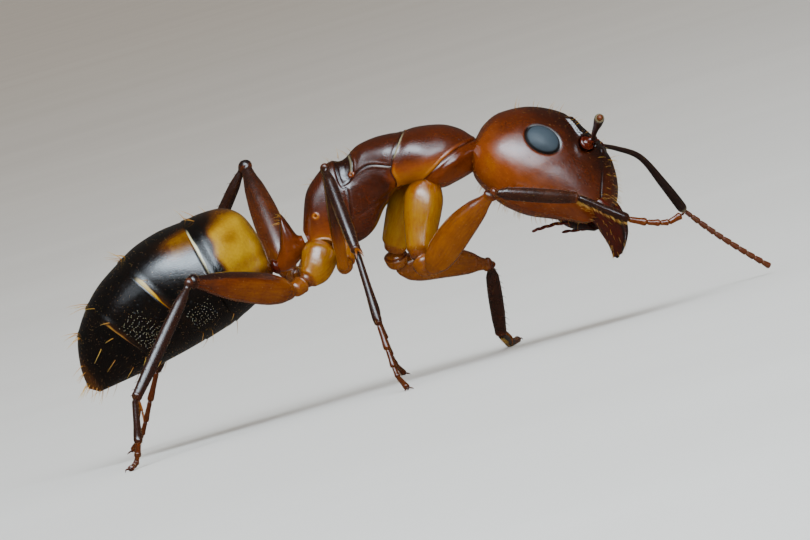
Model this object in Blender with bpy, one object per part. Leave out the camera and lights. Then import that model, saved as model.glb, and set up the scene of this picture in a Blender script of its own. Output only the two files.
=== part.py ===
"""A large worker carpenter ant, life size, standing with its right foreleg raised.

Run with: blender --background --python part.py

+X is the way the ant faces, +Y is its left side and +Z is up. Lengths below are in
millimetres and are turned into metres when each mesh is stored. The ant is laid out from a
waist point, where the mesosoma (the middle of the body) meets the petiole, with the floor
at z = 0, and stored with its bounding box centred over the origin.
"""

import math

import bmesh
import bpy
import numpy as np
from mathutils import Matrix, Vector
from mathutils.bvhtree import BVHTree

MM = 0.001
GAP = 0.02                    # clear space between neighbouring plates and segments
SHARP_ANGLE = math.radians(35)
WAIST_TO_ORIGIN = Vector((-2.05, 0.91, 0.0))

# The head is laid out along its own axis, from the neck hole (0) to the mouth (2.9).
HEAD_AT = Vector((3.76, 0.0, 4.06))
HEAD_PITCH = math.radians(51)      # the face points this far below level
HEAD_YAW = math.radians(-7)        # and is turned a little to the ant's right
# The gaster (the rear body) is laid out along its axis, from the waist (0) to the tip (4.4).
GASTER_AT = Vector((-0.68, 0.0, 2.93))
GASTER_DROOP = math.radians(16)

EYE_AT = (1.035, 1.125)            # along and up the head
EYE_TILT = math.radians(4.5)       # the eye's front end lies this much nearer the face
EYE_LENGTH, EYE_HEIGHT, EYE_BULGE = 0.76, 0.485, 0.12
EYE_RIM = 0.05                     # how thick the lens is at its edge

LIMB_SIDES = 8
TROCHANTER_LENGTH = 0.38
MITRE_LIMIT = 0.5                  # how far a mitre may slide, as a share of the limb's radius
SEAT_START, SEAT_REACH = 0.8, 2.0  # where a limb starts to look for the body, and how far

# Squareness of each body part's section, above and below its widest line (2 is an ellipse),
# and the share of its height at which that line lies, at the first and at the last station.
HEAD_SECTION = ((1.70, 2.4), (0.46, 0.10))
MESOSOMA_SECTION = ((2.2, 2.4), (0.46, 0.36))
PETIOLE_SECTION = ((2.2, 2.2), (0.5, 0.5))
GASTER_SECTION = ((2.05, 2.2), (0.44, 0.44))
# The widest line moves over this span of the part's length.
WIDEST_SPAN = (0.1, 0.8)

# Each station of a body loft: upper point (along, up), lower point (along, up), half width.
HEAD_STATIONS = [
    ((-0.13, 0.36), (-0.06, 0.12), 0.16),
    ((-0.14, 0.62), (0.10, -0.14), 0.52),
    ((-0.02, 0.98), (0.34, -0.37), 0.80),
    ((0.38, 1.41), (0.72, -0.46), 1.05),
    ((0.92, 1.68), (1.14, -0.48), 1.16),
    ((1.42, 1.74), (1.62, -0.37), 1.12),
    ((1.95, 1.66), (2.05, -0.15), 1.02),
    ((2.33, 1.47), (2.42, 0.05), 0.93),
    ((2.63, 1.23), (2.67, 0.18), 0.86),
    ((2.82, 0.99), (2.79, 0.34), 0.72),
    ((2.90, 0.82), (2.86, 0.56), 0.42),
]
MESOSOMA_STATIONS = [
    ((3.84, 4.39), (3.68, 3.73), 0.42),
    ((3.62, 4.60), (3.50, 3.67), 0.58),
    ((3.36, 4.75), (3.28, 3.62), 0.70),
    ((3.05, 4.83), (3.00, 3.58), 0.78),
    ((2.70, 4.87), (2.68, 3.70), 0.82),
    ((2.42, 4.87), (2.24, 3.80), 0.76),
    ((1.98, 4.89), (1.86, 3.62), 0.64),
    ((1.58, 4.83), (1.48, 3.18), 0.56),
    ((1.25, 4.64), (1.14, 3.00), 0.52),
    ((1.00, 4.68), (0.86, 2.99), 0.51),
    ((0.60, 4.46), (0.56, 2.97), 0.51),
    ((0.34, 4.20), (0.36, 2.99), 0.47),
    ((0.17, 3.78), (0.22, 3.04), 0.38),
    ((0.08, 3.50), (0.14, 3.12), 0.22),
]
PETIOLE_STATIONS = [
    ((0.02, 3.42), (0.06, 3.16), 0.14),
    ((-0.08, 3.48), (-0.04, 3.04), 0.21),
    ((-0.19, 3.78), (-0.20, 2.92), 0.30),
    ((-0.28, 3.95), (-0.31, 2.86), 0.33),
    ((-0.35, 3.78), (-0.40, 2.83), 0.31),
    ((-0.47, 3.32), (-0.50, 2.82), 0.22),
    ((-0.60, 3.10), (-0.62, 2.86), 0.12),
]
GASTER_STATIONS = [
    ((0.02, 0.20), (0.06, -0.04), 0.13),
    ((-0.06, 0.64), (0.24, -0.20), 0.43),
    ((-0.02, 1.22), (0.54, -0.35), 0.69),
    ((0.22, 1.56), (0.84, -0.42), 0.92),
    ((0.64, 1.72), (1.12, -0.46), 1.12),
    ((1.11, 1.79), (1.22, -0.48), 1.20),
    ((1.62, 1.87), (1.50, -0.48), 1.24),
    ((2.16, 1.86), (1.72, -0.48), 1.23),
    ((2.63, 1.75), (1.92, -0.47), 1.18),
    ((3.20, 1.57), (2.43, -0.45), 1.06),
    ((3.66, 1.30), (2.94, -0.41), 0.91),
    ((4.08, 0.91), (3.42, -0.35), 0.68),
    ((4.34, 0.38), (3.88, -0.29), 0.42),
    ((4.43, -0.06), (4.26, -0.24), 0.12),
]
# The gaster's rings are divided into five segments at these stations.
GASTER_MARGINS = [0, 5, 8, 10, 11, 13]

# Side-view lines that part the mesosoma into its plates: each from an upper to a lower point.
PRONOTUM_REAR = ((2.47, 4.84), (2.22, 3.86))
PRONOTUM_EDGE = ((3.76, 4.27), (2.22, 3.86))
MESONOTUM_EDGE = ((2.38, 4.48), (1.42, 4.12))
METANOTUM_FRONT = ((1.50, 4.80), (1.42, 4.12))
METANOTUM_REAR = ((1.07, 4.72), (1.15, 4.02))
PROPODEUM_FRONT = ((1.15, 4.02), (0.98, 2.98))

# Legs: hip, end of the coxa, knee, end of the tibia, then the tarsus, whose last point is the
# foot. A standing foot lies along the floor at FOOT_HEIGHT.
FOOT_HEIGHT = 0.19
LEGS = {
    "leg_front_r": [(2.66, -0.36, 3.70), (2.25, -0.76, 2.33), (3.91, -2.00, 3.24),
                    (5.54, -1.48, 2.65), (6.48, -1.24, 1.88), (7.11, -1.12, 1.67),
                    (7.42, -1.08, 1.75)],
    "leg_front_l": [(2.46, 0.36, 3.78), (1.68, 0.76, 2.54), (3.50, 2.10, 1.77),
                    (3.32, 3.20, 0.36), (3.48, 4.35, FOOT_HEIGHT), (3.62, 5.40, FOOT_HEIGHT)],
    "leg_middle_r": [(0.80, -0.40, 3.08), (0.69, -0.78, 2.60), (0.84, -2.24, 4.66),
                     (0.99, -3.48, 2.87), (1.02, -3.94, 1.36), (1.08, -4.24, 0.40),
                     (1.22, -4.62, FOOT_HEIGHT)],
    "leg_middle_l": [(0.80, 0.40, 3.08), (0.69, 0.78, 2.60), (0.86, 2.24, 4.48),
                     (0.98, 3.48, 2.75), (1.02, 3.94, 1.32), (1.08, 4.24, 0.40),
                     (1.22, 4.62, FOOT_HEIGHT)],
    "leg_hind_r": [(0.30, -0.36, 3.00), (-0.20, -0.74, 2.50), (-2.34, -2.88, 3.22),
                   (-4.03, -3.98, 1.28), (-4.20, -4.66, 0.46), (-4.33, -5.02, FOOT_HEIGHT),
                   (-4.46, -5.50, FOOT_HEIGHT)],
    "leg_hind_l": [(0.30, 0.36, 3.00), (-0.22, 0.78, 2.62), (-0.71, 2.80, 5.06),
                   (-2.52, 3.60, 2.88), (-3.62, 4.28, 1.42), (-4.20, 4.68, 0.38),
                   (-4.50, 5.04, FOOT_HEIGHT)],
}
# Radii of each leg's coxa (hip, middle, end), femur (trochanter, belly, knee) and tibia.
COXA_RADII = {"front": (0.26, 0.40, 0.26), "middle": (0.18, 0.22, 0.22), "hind": (0.21, 0.33, 0.26)}
FEMUR_RADII = {"front": (0.27, 0.33, 0.25), "middle": (0.25, 0.27, 0.24), "hind": (0.26, 0.32, 0.24)}
TIBIA_RADII = (0.24, 0.25, 0.25)
TARSUS_RADIUS = 0.23

# Feelers: the scape from its socket to the elbow, then the funiculus to its tip.
SCAPES = {
    "r": [(6.14, -0.68, 3.68), (6.21, -1.50, 3.84), (6.29, -2.50, 3.98), (6.35, -3.44, 4.11)],
    "l": [(6.24, 0.14, 3.50), (6.56, 0.66, 3.34), (6.98, 1.22, 3.02), (7.29, 1.90, 2.36),
          (7.55, 2.54, 1.72)],
}
FUNICULI = {
    "r": [(6.35, -3.44, 4.11), (6.33, -5.30, 4.15), (6.31, -7.24, 4.19)],
    "l": [(7.55, 2.54, 1.72), (7.95, 2.70, 1.22), (8.42, 2.92, 0.71), (8.92, 3.20, 0.27)],
}
SCAPE_RADII = (0.23, 0.24, 0.25)
FUNICULUS_RADIUS = 0.23

MANDIBLE_PATH = [(2.80, 0.54, 0.57), (3.00, 0.47, 0.50), (3.34, 0.25, 0.30), (3.54, 0.11, 0.02)]
MANDIBLE_HALF_DEPTHS = (0.28, 0.31, 0.24, 0.11)
MANDIBLE_HALF_WIDTHS = (0.22, 0.25, 0.19, 0.08)
MANDIBLE_SIDES = 12
MANDIBLE_ROOT_CLEAR = 0.14         # how far its root stays from the head where it passes beside it
MOUTH_PATH = [(2.56, 0.0, 0.06), (2.76, 0.0, -0.06), (2.94, 0.0, -0.14), (3.08, 0.0, -0.18)]
MOUTH_RADII = (0.25, 0.26, 0.23, 0.12)

# Colours: linear RGB, then roughness.
SHELL_BROWN = ((0.085, 0.022, 0.008), 0.28)
SHELL_DARK = ((0.040, 0.012, 0.006), 0.30)
SHELL_AMBER = ((0.330, 0.110, 0.016), 0.30)
SHELL_BLACK = ((0.012, 0.008, 0.007), 0.22)
LEG_BROWN = ((0.050, 0.016, 0.010), 0.32)
FOOT_RUST = ((0.170, 0.040, 0.012), 0.38)
EYE_GREY = ((0.060, 0.075, 0.085), 0.22)


def clear_scene():
    for obj in list(bpy.data.objects):
        bpy.data.objects.remove(obj, do_unlink=True)


def shell_material(name, finish):
    colour, roughness = finish
    material = bpy.data.materials.new(name)
    material.use_nodes = True
    shader = material.node_tree.nodes["Principled BSDF"]
    shader.inputs["Base Color"].default_value = (*colour, 1.0)
    shader.inputs["Roughness"].default_value = roughness
    material.diffuse_color = (*colour, 1.0)
    return material


def store(name, shape, finish):
    """Turn a shape drawn in millimetres from the waist into an object in metres."""
    bmesh.ops.recalc_face_normals(shape, faces=shape.faces)
    shape.transform(Matrix.Scale(MM, 4) @ Matrix.Translation(WAIST_TO_ORIGIN))
    mesh = bpy.data.meshes.new(name)
    shape.to_mesh(mesh)
    shape.free()
    mesh.shade_smooth()
    mesh.set_sharp_from_angle(angle=SHARP_ANGLE)
    mesh.materials.append(shell_material(name, finish))
    bpy.context.collection.objects.link(bpy.data.objects.new(name, mesh))


def smooth_row(rows, place):
    """Catmull-Rom value at a fractional place along a list of equal-length rows."""
    last = len(rows) - 1
    first = min(int(place), last - 1)
    t = place - first
    p1, p2 = rows[first], rows[first + 1]
    p0 = rows[first - 1] if first else 2 * p1 - p2
    p3 = rows[first + 2] if first + 2 <= last else 2 * p2 - p1
    return 0.5 * (2 * p1 + (p2 - p0) * t + (2 * p0 - 5 * p1 + 4 * p2 - p3) * t**2
                  + (3 * p1 - p0 - 3 * p2 + p3) * t**3)


def smooth_step(value, low, high):
    share = min(max((value - low) / (high - low), 0.0), 1.0)
    return share * share * (3 - 2 * share)


def body_rings(stations, sides, steps, section, first=0, last=None):
    """Rings through the stations, with steps rings for each interval."""
    (above, below), (widest_first, widest_last) = section
    rows = [np.array([*upper, *lower, width]) for upper, lower, width in stations]
    last = len(rows) - 1 if last is None else last
    count = (last - first) * steps
    rings = []
    for k in range(count + 1):
        top_x, top_z, low_x, low_z, half_width = smooth_row(rows, first + k / steps)
        top, low = Vector((top_x, 0.0, top_z)), Vector((low_x, 0.0, low_z))
        widest = widest_first + (widest_last - widest_first) * smooth_step(k / count, *WIDEST_SPAN)
        ring = []
        for i in range(sides):
            angle = 2 * math.pi * i / sides
            c, s = math.cos(angle), math.sin(angle)
            power = 2 / (above if c > 0 else below)
            rise = abs(c) ** power
            share = widest + (1 - widest) * rise if c > 0 else widest - widest * rise
            out = math.copysign(abs(s) ** power, s)
            ring.append(low.lerp(top, share) + Vector((0, half_width * out, 0)))
        rings.append(ring)
    return rings


def loft(rings, frame=None):
    """One closed solid through equal rings, with a fan of faces over each end."""
    shape = bmesh.new()
    rows = [[shape.verts.new(point) for point in ring] for ring in rings]
    sides = len(rings[0])
    for row, following in zip(rows, rows[1:]):
        for i in range(sides):
            j = (i + 1) % sides
            shape.faces.new((row[i], row[j], following[j], following[i]))
    for row in (rows[0], rows[-1]):
        centre = shape.verts.new(sum((v.co for v in row), Vector()) / sides)
        for i in range(sides):
            shape.faces.new((row[i], row[(i + 1) % sides], centre))
    if frame:
        shape.transform(frame)
    bmesh.ops.recalc_face_normals(shape, faces=shape.faces)
    return shape


def cut(shape, line, keep_front):
    """Part a shape along a side-view line, keeping what lies ahead of (or above) it."""
    (x1, z1), (x2, z2) = line
    along = Vector((x2 - x1, 0, z2 - z1)).normalized()
    ahead = Vector((-along.z, 0, along.x))
    upright = abs(along.z) > abs(along.x)
    if (ahead.x if upright else ahead.z) < 0:
        ahead = -ahead
    normal = ahead if keep_front else -ahead
    point = Vector((x1, 0, z1)) + normal * GAP / 2
    everything = shape.verts[:] + shape.edges[:] + shape.faces[:]
    result = bmesh.ops.bisect_plane(shape, geom=everything, dist=1e-6, plane_co=point,
                                    plane_no=normal, clear_inner=True)
    rim = [item for item in result["geom_cut"] if isinstance(item, bmesh.types.BMEdge)]
    bmesh.ops.contextual_create(shape, geom=rim)
    big = [face for face in shape.faces if len(face.verts) > 4]
    bmesh.ops.triangulate(shape, faces=big)


def turn_frame(place, pitch, yaw=0.0):
    """The frame of a body part whose own X axis dips by pitch and turns by yaw."""
    return Matrix.Translation(place) @ Matrix.Rotation(yaw, 4, "Z") @ Matrix.Rotation(pitch, 4, "Y")


HEAD_FRAME = turn_frame(HEAD_AT, HEAD_PITCH, HEAD_YAW)
# The gaster's own X axis points rearwards, so its frame is mirrored across the waist.
GASTER_FRAME = (Matrix.Translation(GASTER_AT) @ Matrix.Rotation(-GASTER_DROOP, 4, "Y")
                @ Matrix.Scale(-1, 4, Vector((1, 0, 0))))


def head_rings():
    return body_rings(HEAD_STATIONS, 28, 2, HEAD_SECTION)


def mesosoma():
    """The whole middle body, its neck seated on the back of the head."""
    head_tree = BVHTree.FromBMesh(loft(head_rings(), HEAD_FRAME))
    rings = body_rings(MESOSOMA_STATIONS, 22, 2, MESOSOMA_SECTION)
    return loft(seat(rings, Vector((-1, 0, 0)), head_tree))


def make_mesosoma():
    plates = {
        "pronotum": ([(PRONOTUM_REAR, True), (PRONOTUM_EDGE, True)], SHELL_BROWN),
        "propleura": ([(PRONOTUM_REAR, True), (PRONOTUM_EDGE, False)], SHELL_AMBER),
        "mesonotum": ([(PRONOTUM_REAR, False), (MESONOTUM_EDGE, True), (METANOTUM_FRONT, True)],
                      SHELL_BROWN),
        "mesopleura": ([(PRONOTUM_REAR, False), (MESONOTUM_EDGE, False), (PROPODEUM_FRONT, True)],
                       SHELL_DARK),
        "metanotum": ([(METANOTUM_FRONT, False), (MESONOTUM_EDGE, True), (METANOTUM_REAR, True)],
                      SHELL_DARK),
        "propodeum": ([(METANOTUM_REAR, False), (PROPODEUM_FRONT, False)], SHELL_DARK),
    }
    for name, (cuts, finish) in plates.items():
        plate = mesosoma()
        for line, keep_front in cuts:
            cut(plate, line, keep_front)
        store(name, plate, finish)


def make_head():
    store("head", loft(head_rings(), HEAD_FRAME), SHELL_BROWN)


def make_eye(name, side):
    """A lens whose inner face follows the head's surface and whose outer face bulges."""
    tree = BVHTree.FromBMesh(loft(head_rings()))
    shape = bmesh.new()
    around, circles = 16, 4
    inner_rows, outer_rows = [], []
    for k in range(circles + 1):
        reach = k / circles
        inner, outer = [], []
        for i in range(around if k else 1):
            angle = 2 * math.pi * i / around
            long = EYE_LENGTH / 2 * reach * math.cos(angle)
            short = EYE_HEIGHT / 2 * reach * math.sin(angle)
            along = EYE_AT[0] + long * math.cos(EYE_TILT) - short * math.sin(EYE_TILT)
            up = EYE_AT[1] + long * math.sin(EYE_TILT) + short * math.cos(EYE_TILT)
            spot, normal, _, _ = tree.ray_cast(Vector((along, side * 3, up)), Vector((0, -side, 0)))
            inner.append(shape.verts.new(spot + normal * GAP))
            swell = EYE_RIM + EYE_BULGE * math.sqrt(max(0.0, 1 - reach**2))
            outer.append(shape.verts.new(spot + normal * (GAP + swell)))
        inner_rows.append(inner)
        outer_rows.append(outer)
    for rows in (inner_rows, outer_rows):
        for i in range(around):
            j = (i + 1) % around
            shape.faces.new((rows[0][0], rows[1][i], rows[1][j]))
            for row, wider in zip(rows[1:], rows[2:]):
                shape.faces.new((row[i], wider[i], wider[j], row[j]))
    for i in range(around):
        j = (i + 1) % around
        shape.faces.new((inner_rows[-1][i], inner_rows[-1][j], outer_rows[-1][j], outer_rows[-1][i]))
    shape.transform(HEAD_FRAME)
    store(name, shape, EYE_GREY)


def tube_rings(path, radii, sides):
    """Rings square to a path, with the radius of each point."""
    points = [Vector(p) for p in path]
    rings = []
    side = None
    for k, point in enumerate(points):
        before = points[max(k - 1, 0)]
        after = points[min(k + 1, len(points) - 1)]
        along = (after - before).normalized()
        if side is None:
            side = along.cross(Vector((0, 0, 1))).normalized()
            if side.length < 0.5:
                side = Vector((1, 0, 0))
        side = (side - along * side.dot(along)).normalized()
        up = side.cross(along)
        ring = []
        for i in range(sides):
            angle = 2 * math.pi * (i + 0.5) / sides
            ring.append(point + (side * math.cos(angle) + up * math.sin(angle)) * radii[k])
        rings.append(ring)
    return rings


def mitre(ring, centre, along, neighbour, at_end, limit):
    """Slide an end ring along its limb onto the plane that halves the bend to its neighbour."""
    normal = (along + neighbour).normalized()
    lean = along.dot(normal)
    sign = 1 if at_end else -1
    moved = []
    for point in ring:
        slide = -(point - centre).dot(normal) / lean
        slide = sign * min(sign * slide, limit) - sign * GAP / 2 / lean
        moved.append(point + along * slide)
    return moved


def limb(path, radii, before=None, after=None, sides=LIMB_SIDES):
    """A limb segment along a path, mitred towards the segments before and after it."""
    rings = tube_rings(path, radii, sides)
    first, last = Vector(path[0]), Vector(path[-1])
    if before is not None:
        start_way = (Vector(path[1]) - first).normalized()
        rings[0] = mitre(rings[0], first, start_way, before, False, MITRE_LIMIT * radii[0])
    if after is not None:
        end_way = (last - Vector(path[-2])).normalized()
        rings[-1] = mitre(rings[-1], last, end_way, after, True, MITRE_LIMIT * radii[-1])
    return rings


def seat(rings, along, tree, clear=0.0):
    """Slide a limb's first ring along it until it meets the body, less the gap.

    A smaller ring inside the first one follows the body's curve under the limb. A point
    that passes beside the body stops the clear distance out from where it was.
    """
    centre = sum(rings[0], Vector()) / len(rings[0])
    seated = []
    for ring in ([centre.lerp(point, 0.5) for point in rings[0]], rings[0]):
        moved = []
        for point in ring:
            spot, _, _, _ = tree.ray_cast(point + along * SEAT_START, -along, SEAT_REACH)
            moved.append(spot + along * GAP * 2 if spot else point + along * clear)
        seated.append(moved)
    return seated + rings[1:]


def between(start, end, shares):
    return [start.lerp(end, share) for share in shares]


def foot_flat(shape):
    for vert in shape.verts:
        vert.co.z = max(vert.co.z, 0.0)


def make_leg(name, joints, body_tree):
    """Coxa, trochanter, femur, tibia and tarsus, each its own solid."""
    kind = name.split("_")[1]
    hip, coxa_end, knee, ankle = (Vector(p) for p in joints[:4])
    coxa_way = (coxa_end - hip).normalized()
    femur_way = (knee - coxa_end).normalized()
    small_end = coxa_end + (coxa_way + femur_way).normalized() * TROCHANTER_LENGTH
    small_way = (small_end - coxa_end).normalized()
    femur_way = (knee - small_end).normalized()
    tibia_way = (ankle - knee).normalized()
    tarsus = [ankle] + [Vector(p) for p in joints[4:]]
    tarsus_way = (tarsus[1] - ankle).normalized()

    hip_radius, middle_radius, end_radius = COXA_RADII[kind]
    path = between(hip, coxa_end, (0.0, 0.22, 0.5, 0.8, 1.0))
    radii = (hip_radius, middle_radius, middle_radius, (middle_radius + end_radius) / 2, end_radius)
    rings = limb(path, radii, after=small_way, sides=10)
    rings = seat(rings, coxa_way, body_tree)
    store(name + "_coxa", loft(rings), SHELL_AMBER)

    start_radius, belly_radius, knee_radius = FEMUR_RADII[kind]
    path = between(coxa_end, small_end, (0.0, 0.5, 1.0))
    rings = limb(path, (end_radius * 0.94, end_radius, start_radius * 0.94), coxa_way, femur_way)
    store(name + "_trochanter", loft(rings), SHELL_AMBER)

    path = between(small_end, knee, (0.0, 0.12, 0.28, 0.46, 0.66, 0.86, 1.0))
    radii = (start_radius, 0.5 * (start_radius + belly_radius), belly_radius, belly_radius,
             0.5 * (belly_radius + knee_radius), knee_radius, knee_radius)
    rings = limb(path, radii, small_way, tibia_way, sides=10)
    store(name + "_femur", loft(rings), SHELL_AMBER)

    path = between(knee, ankle, (0.0, 0.25, 0.75, 1.0))
    radii = (TIBIA_RADII[0], TIBIA_RADII[1], TIBIA_RADII[1], TIBIA_RADII[2])
    store(name + "_tibia", loft(limb(path, radii, femur_way, tarsus_way)), LEG_BROWN)

    path = between(tarsus[0], tarsus[1], (0.0, 0.4)) + tarsus[1:]
    shape = loft(limb(path, [TARSUS_RADIUS] * len(path), before=tibia_way))
    foot_flat(shape)
    store(name + "_tarsus", shape, FOOT_RUST)


def make_feeler(side, head_tree):
    """The scape, seated on the face, and the funiculus beyond its elbow."""
    scape, funiculus = SCAPES[side], FUNICULI[side]
    thin, middle, thick = SCAPE_RADII
    radii = [thin + (middle - thin) * k / (len(scape) - 2) for k in range(len(scape) - 1)] + [thick]
    elbow_way = (Vector(funiculus[1]) - Vector(funiculus[0])).normalized()
    rings = limb(scape, radii, after=elbow_way)
    first_way = (Vector(scape[1]) - Vector(scape[0])).normalized()
    rings = seat(rings, first_way, head_tree)
    store("scape_" + side, loft(rings), LEG_BROWN)
    scape_way = (Vector(scape[-1]) - Vector(scape[-2])).normalized()
    rings = limb(funiculus, [FUNICULUS_RADIUS] * len(funiculus), before=scape_way)
    store("funiculus_" + side, loft(rings), LEG_BROWN)


def make_mouth(head_tree):
    """Two mandibles whose tips nearly meet, and the small parts under the mouth."""
    for side, sign in (("r", -1), ("l", 1)):
        rings = []
        for (along, out, up), depth, width in zip(
                MANDIBLE_PATH, MANDIBLE_HALF_DEPTHS, MANDIBLE_HALF_WIDTHS):
            ring = []
            for i in range(MANDIBLE_SIDES):
                angle = 2 * math.pi * i / MANDIBLE_SIDES
                across = sign * max(out + width * math.cos(angle), GAP)
                ring.append(HEAD_FRAME @ Vector((along, across, up + depth * math.sin(angle))))
            rings.append(ring)
        forward = (HEAD_FRAME.to_3x3() @ Vector((1, 0, 0))).normalized()
        rings = seat(rings, forward, head_tree, clear=MANDIBLE_ROOT_CLEAR)
        store("mandible_" + side, loft(rings), SHELL_BLACK)
    path = [HEAD_FRAME @ Vector(point) for point in MOUTH_PATH]
    rings = tube_rings(path, MOUTH_RADII, 10)
    rings = seat(rings, (path[1] - path[0]).normalized(), head_tree)
    store("mouthparts", loft(rings), SHELL_AMBER)


def make_gaster():
    finishes = (SHELL_AMBER, SHELL_BLACK, SHELL_BLACK, SHELL_BLACK, SHELL_BLACK)
    for k, (first, last) in enumerate(zip(GASTER_MARGINS, GASTER_MARGINS[1:])):
        rings = body_rings(GASTER_STATIONS, 24, 2, GASTER_SECTION, first, last)
        shift = Vector((GAP / 2, 0, 0))
        if k:
            rings[0] = [point + shift for point in rings[0]]
        if k < len(finishes) - 1:
            rings[-1] = [point - shift for point in rings[-1]]
        store(f"gaster_{k + 1}", loft(rings, GASTER_FRAME), finishes[k])


def make_petiole():
    store("petiole", loft(body_rings(PETIOLE_STATIONS, 16, 2, PETIOLE_SECTION)), SHELL_DARK)


def main():
    clear_scene()
    head_tree = BVHTree.FromBMesh(loft(head_rings(), HEAD_FRAME))
    body_tree = BVHTree.FromBMesh(mesosoma())
    make_head()
    make_eye("eye_r", -1)
    make_eye("eye_l", 1)
    make_mouth(head_tree)
    for side in ("r", "l"):
        make_feeler(side, head_tree)
    make_mesosoma()
    make_petiole()
    make_gaster()
    for name, joints in LEGS.items():
        make_leg(name, joints, body_tree)


main()
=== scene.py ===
"""The looks of the carpenter ant: shell plates, eyes, jaws, legs, feelers, hairs and the studio.

Shapes are laid out in millimetres from the waist, as the CAD lays them out: +X is the way the
ant faces, +Y is its left side, +Z is up, and the floor is at z = 0. Each mesh is stored in metres.
"""

import math

import bpy
import numpy as np
from mathutils import Matrix, Vector
from mathutils.bvhtree import BVHTree


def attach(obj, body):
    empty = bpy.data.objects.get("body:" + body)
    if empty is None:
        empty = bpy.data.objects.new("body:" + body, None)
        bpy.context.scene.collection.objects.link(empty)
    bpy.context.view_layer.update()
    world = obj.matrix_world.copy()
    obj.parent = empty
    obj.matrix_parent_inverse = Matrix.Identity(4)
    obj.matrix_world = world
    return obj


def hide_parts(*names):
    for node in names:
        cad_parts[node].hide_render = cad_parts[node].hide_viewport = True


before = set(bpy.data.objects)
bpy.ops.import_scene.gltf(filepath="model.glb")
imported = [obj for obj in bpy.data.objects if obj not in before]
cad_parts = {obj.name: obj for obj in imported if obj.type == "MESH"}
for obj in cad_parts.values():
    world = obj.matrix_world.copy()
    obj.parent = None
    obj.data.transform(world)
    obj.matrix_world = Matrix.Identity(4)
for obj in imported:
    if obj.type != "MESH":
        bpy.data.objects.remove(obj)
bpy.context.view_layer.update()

MM = 0.001
WAIST_TO_ORIGIN = np.array([-2.05, 0.91, 0.0])
CHANCE = np.random.default_rng(11)
SIDE_LETTERS = {-1: "r", 1: "l"}   # the signs of the right and the left side

# ---------------- driving dimensions, as in the CAD

HEAD_AT = Vector((3.76, 0.0, 4.06))
HEAD_PITCH = math.radians(51)
HEAD_YAW = math.radians(-7)
HEAD_FRAME = (Matrix.Translation(HEAD_AT) @ Matrix.Rotation(HEAD_YAW, 4, "Z")
              @ Matrix.Rotation(HEAD_PITCH, 4, "Y"))
GASTER_AT = Vector((-0.68, 0.0, 2.93))
GASTER_DROOP = math.radians(16)
GASTER_FRAME = (Matrix.Translation(GASTER_AT) @ Matrix.Rotation(-GASTER_DROOP, 4, "Y")
                @ Matrix.Scale(-1, 4, Vector((1, 0, 0))))

HEAD_WIDEST = (0.46, 0.1)          # the share of its depth at which it is widest, rear and front
HEAD_SQUARENESS = (1.7, 2.4)       # of the face's half and of the throat's half
EYE_AT = (1.035, 1.125)            # along and up, on the side of the head
EYE_TILT = math.radians(4.5)       # its front end lies this much nearer the face
EYE_LENGTH, EYE_HEIGHT, EYE_BULGE = 0.76, 0.485, 0.12

# Each station of a body loft: upper point (along, up), lower point (along, up), half width.
HEAD_STATIONS = [
    ((-0.13, 0.36), (-0.06, 0.12), 0.16),
    ((-0.14, 0.62), (0.10, -0.14), 0.52),
    ((-0.02, 0.98), (0.34, -0.37), 0.80),
    ((0.38, 1.41), (0.72, -0.46), 1.05),
    ((0.92, 1.68), (1.14, -0.48), 1.16),
    ((1.42, 1.74), (1.62, -0.37), 1.12),
    ((1.95, 1.66), (2.05, -0.15), 1.02),
    ((2.33, 1.47), (2.42, 0.05), 0.93),
    ((2.63, 1.23), (2.67, 0.18), 0.86),
    ((2.82, 0.99), (2.79, 0.34), 0.72),
    ((2.90, 0.82), (2.86, 0.56), 0.42),
]
MESOSOMA_STATIONS = [
    ((4.02, 4.16), (3.92, 3.98), 0.14),
    ((3.96, 4.25), (3.80, 3.83), 0.28),
    ((3.84, 4.39), (3.68, 3.73), 0.42),
    ((3.62, 4.60), (3.50, 3.67), 0.58),
    ((3.36, 4.75), (3.28, 3.62), 0.70),
    ((3.05, 4.83), (3.00, 3.58), 0.78),
    ((2.70, 4.87), (2.68, 3.70), 0.82),
    ((2.42, 4.87), (2.24, 3.80), 0.76),
    ((1.98, 4.89), (1.86, 3.62), 0.64),
    ((1.58, 4.83), (1.48, 3.18), 0.56),
    ((1.25, 4.70), (1.14, 3.00), 0.52),
    ((1.00, 4.72), (0.86, 2.99), 0.51),
    ((0.60, 4.46), (0.56, 2.97), 0.51),
    ((0.34, 4.20), (0.36, 2.99), 0.47),
    ((0.17, 3.78), (0.22, 3.04), 0.38),
    ((0.08, 3.50), (0.14, 3.12), 0.22),
]
PETIOLE_STATIONS = [
    ((0.02, 3.42), (0.06, 3.16), 0.14),
    ((-0.08, 3.48), (-0.04, 3.04), 0.21),
    ((-0.19, 3.78), (-0.20, 2.92), 0.30),
    ((-0.28, 3.95), (-0.31, 2.86), 0.33),
    ((-0.35, 3.78), (-0.40, 2.83), 0.31),
    ((-0.47, 3.32), (-0.50, 2.82), 0.22),
    ((-0.60, 3.10), (-0.62, 2.86), 0.12),
]
GASTER_STATIONS = [
    ((0.02, 0.20), (0.06, -0.04), 0.13),
    ((-0.06, 0.64), (0.24, -0.20), 0.43),
    ((-0.02, 1.22), (0.54, -0.35), 0.69),
    ((0.22, 1.56), (0.84, -0.42), 0.92),
    ((0.64, 1.72), (1.12, -0.46), 1.12),
    ((1.11, 1.79), (1.22, -0.48), 1.20),
    ((1.62, 1.87), (1.50, -0.48), 1.24),
    ((2.16, 1.86), (1.72, -0.48), 1.23),
    ((2.63, 1.75), (1.92, -0.47), 1.18),
    ((3.20, 1.57), (2.43, -0.45), 1.06),
    ((3.66, 1.30), (2.94, -0.41), 0.91),
    ((4.08, 0.91), (3.42, -0.35), 0.68),
    ((4.34, 0.38), (3.88, -0.29), 0.42),
    ((4.43, -0.06), (4.26, -0.24), 0.12),
]
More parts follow.
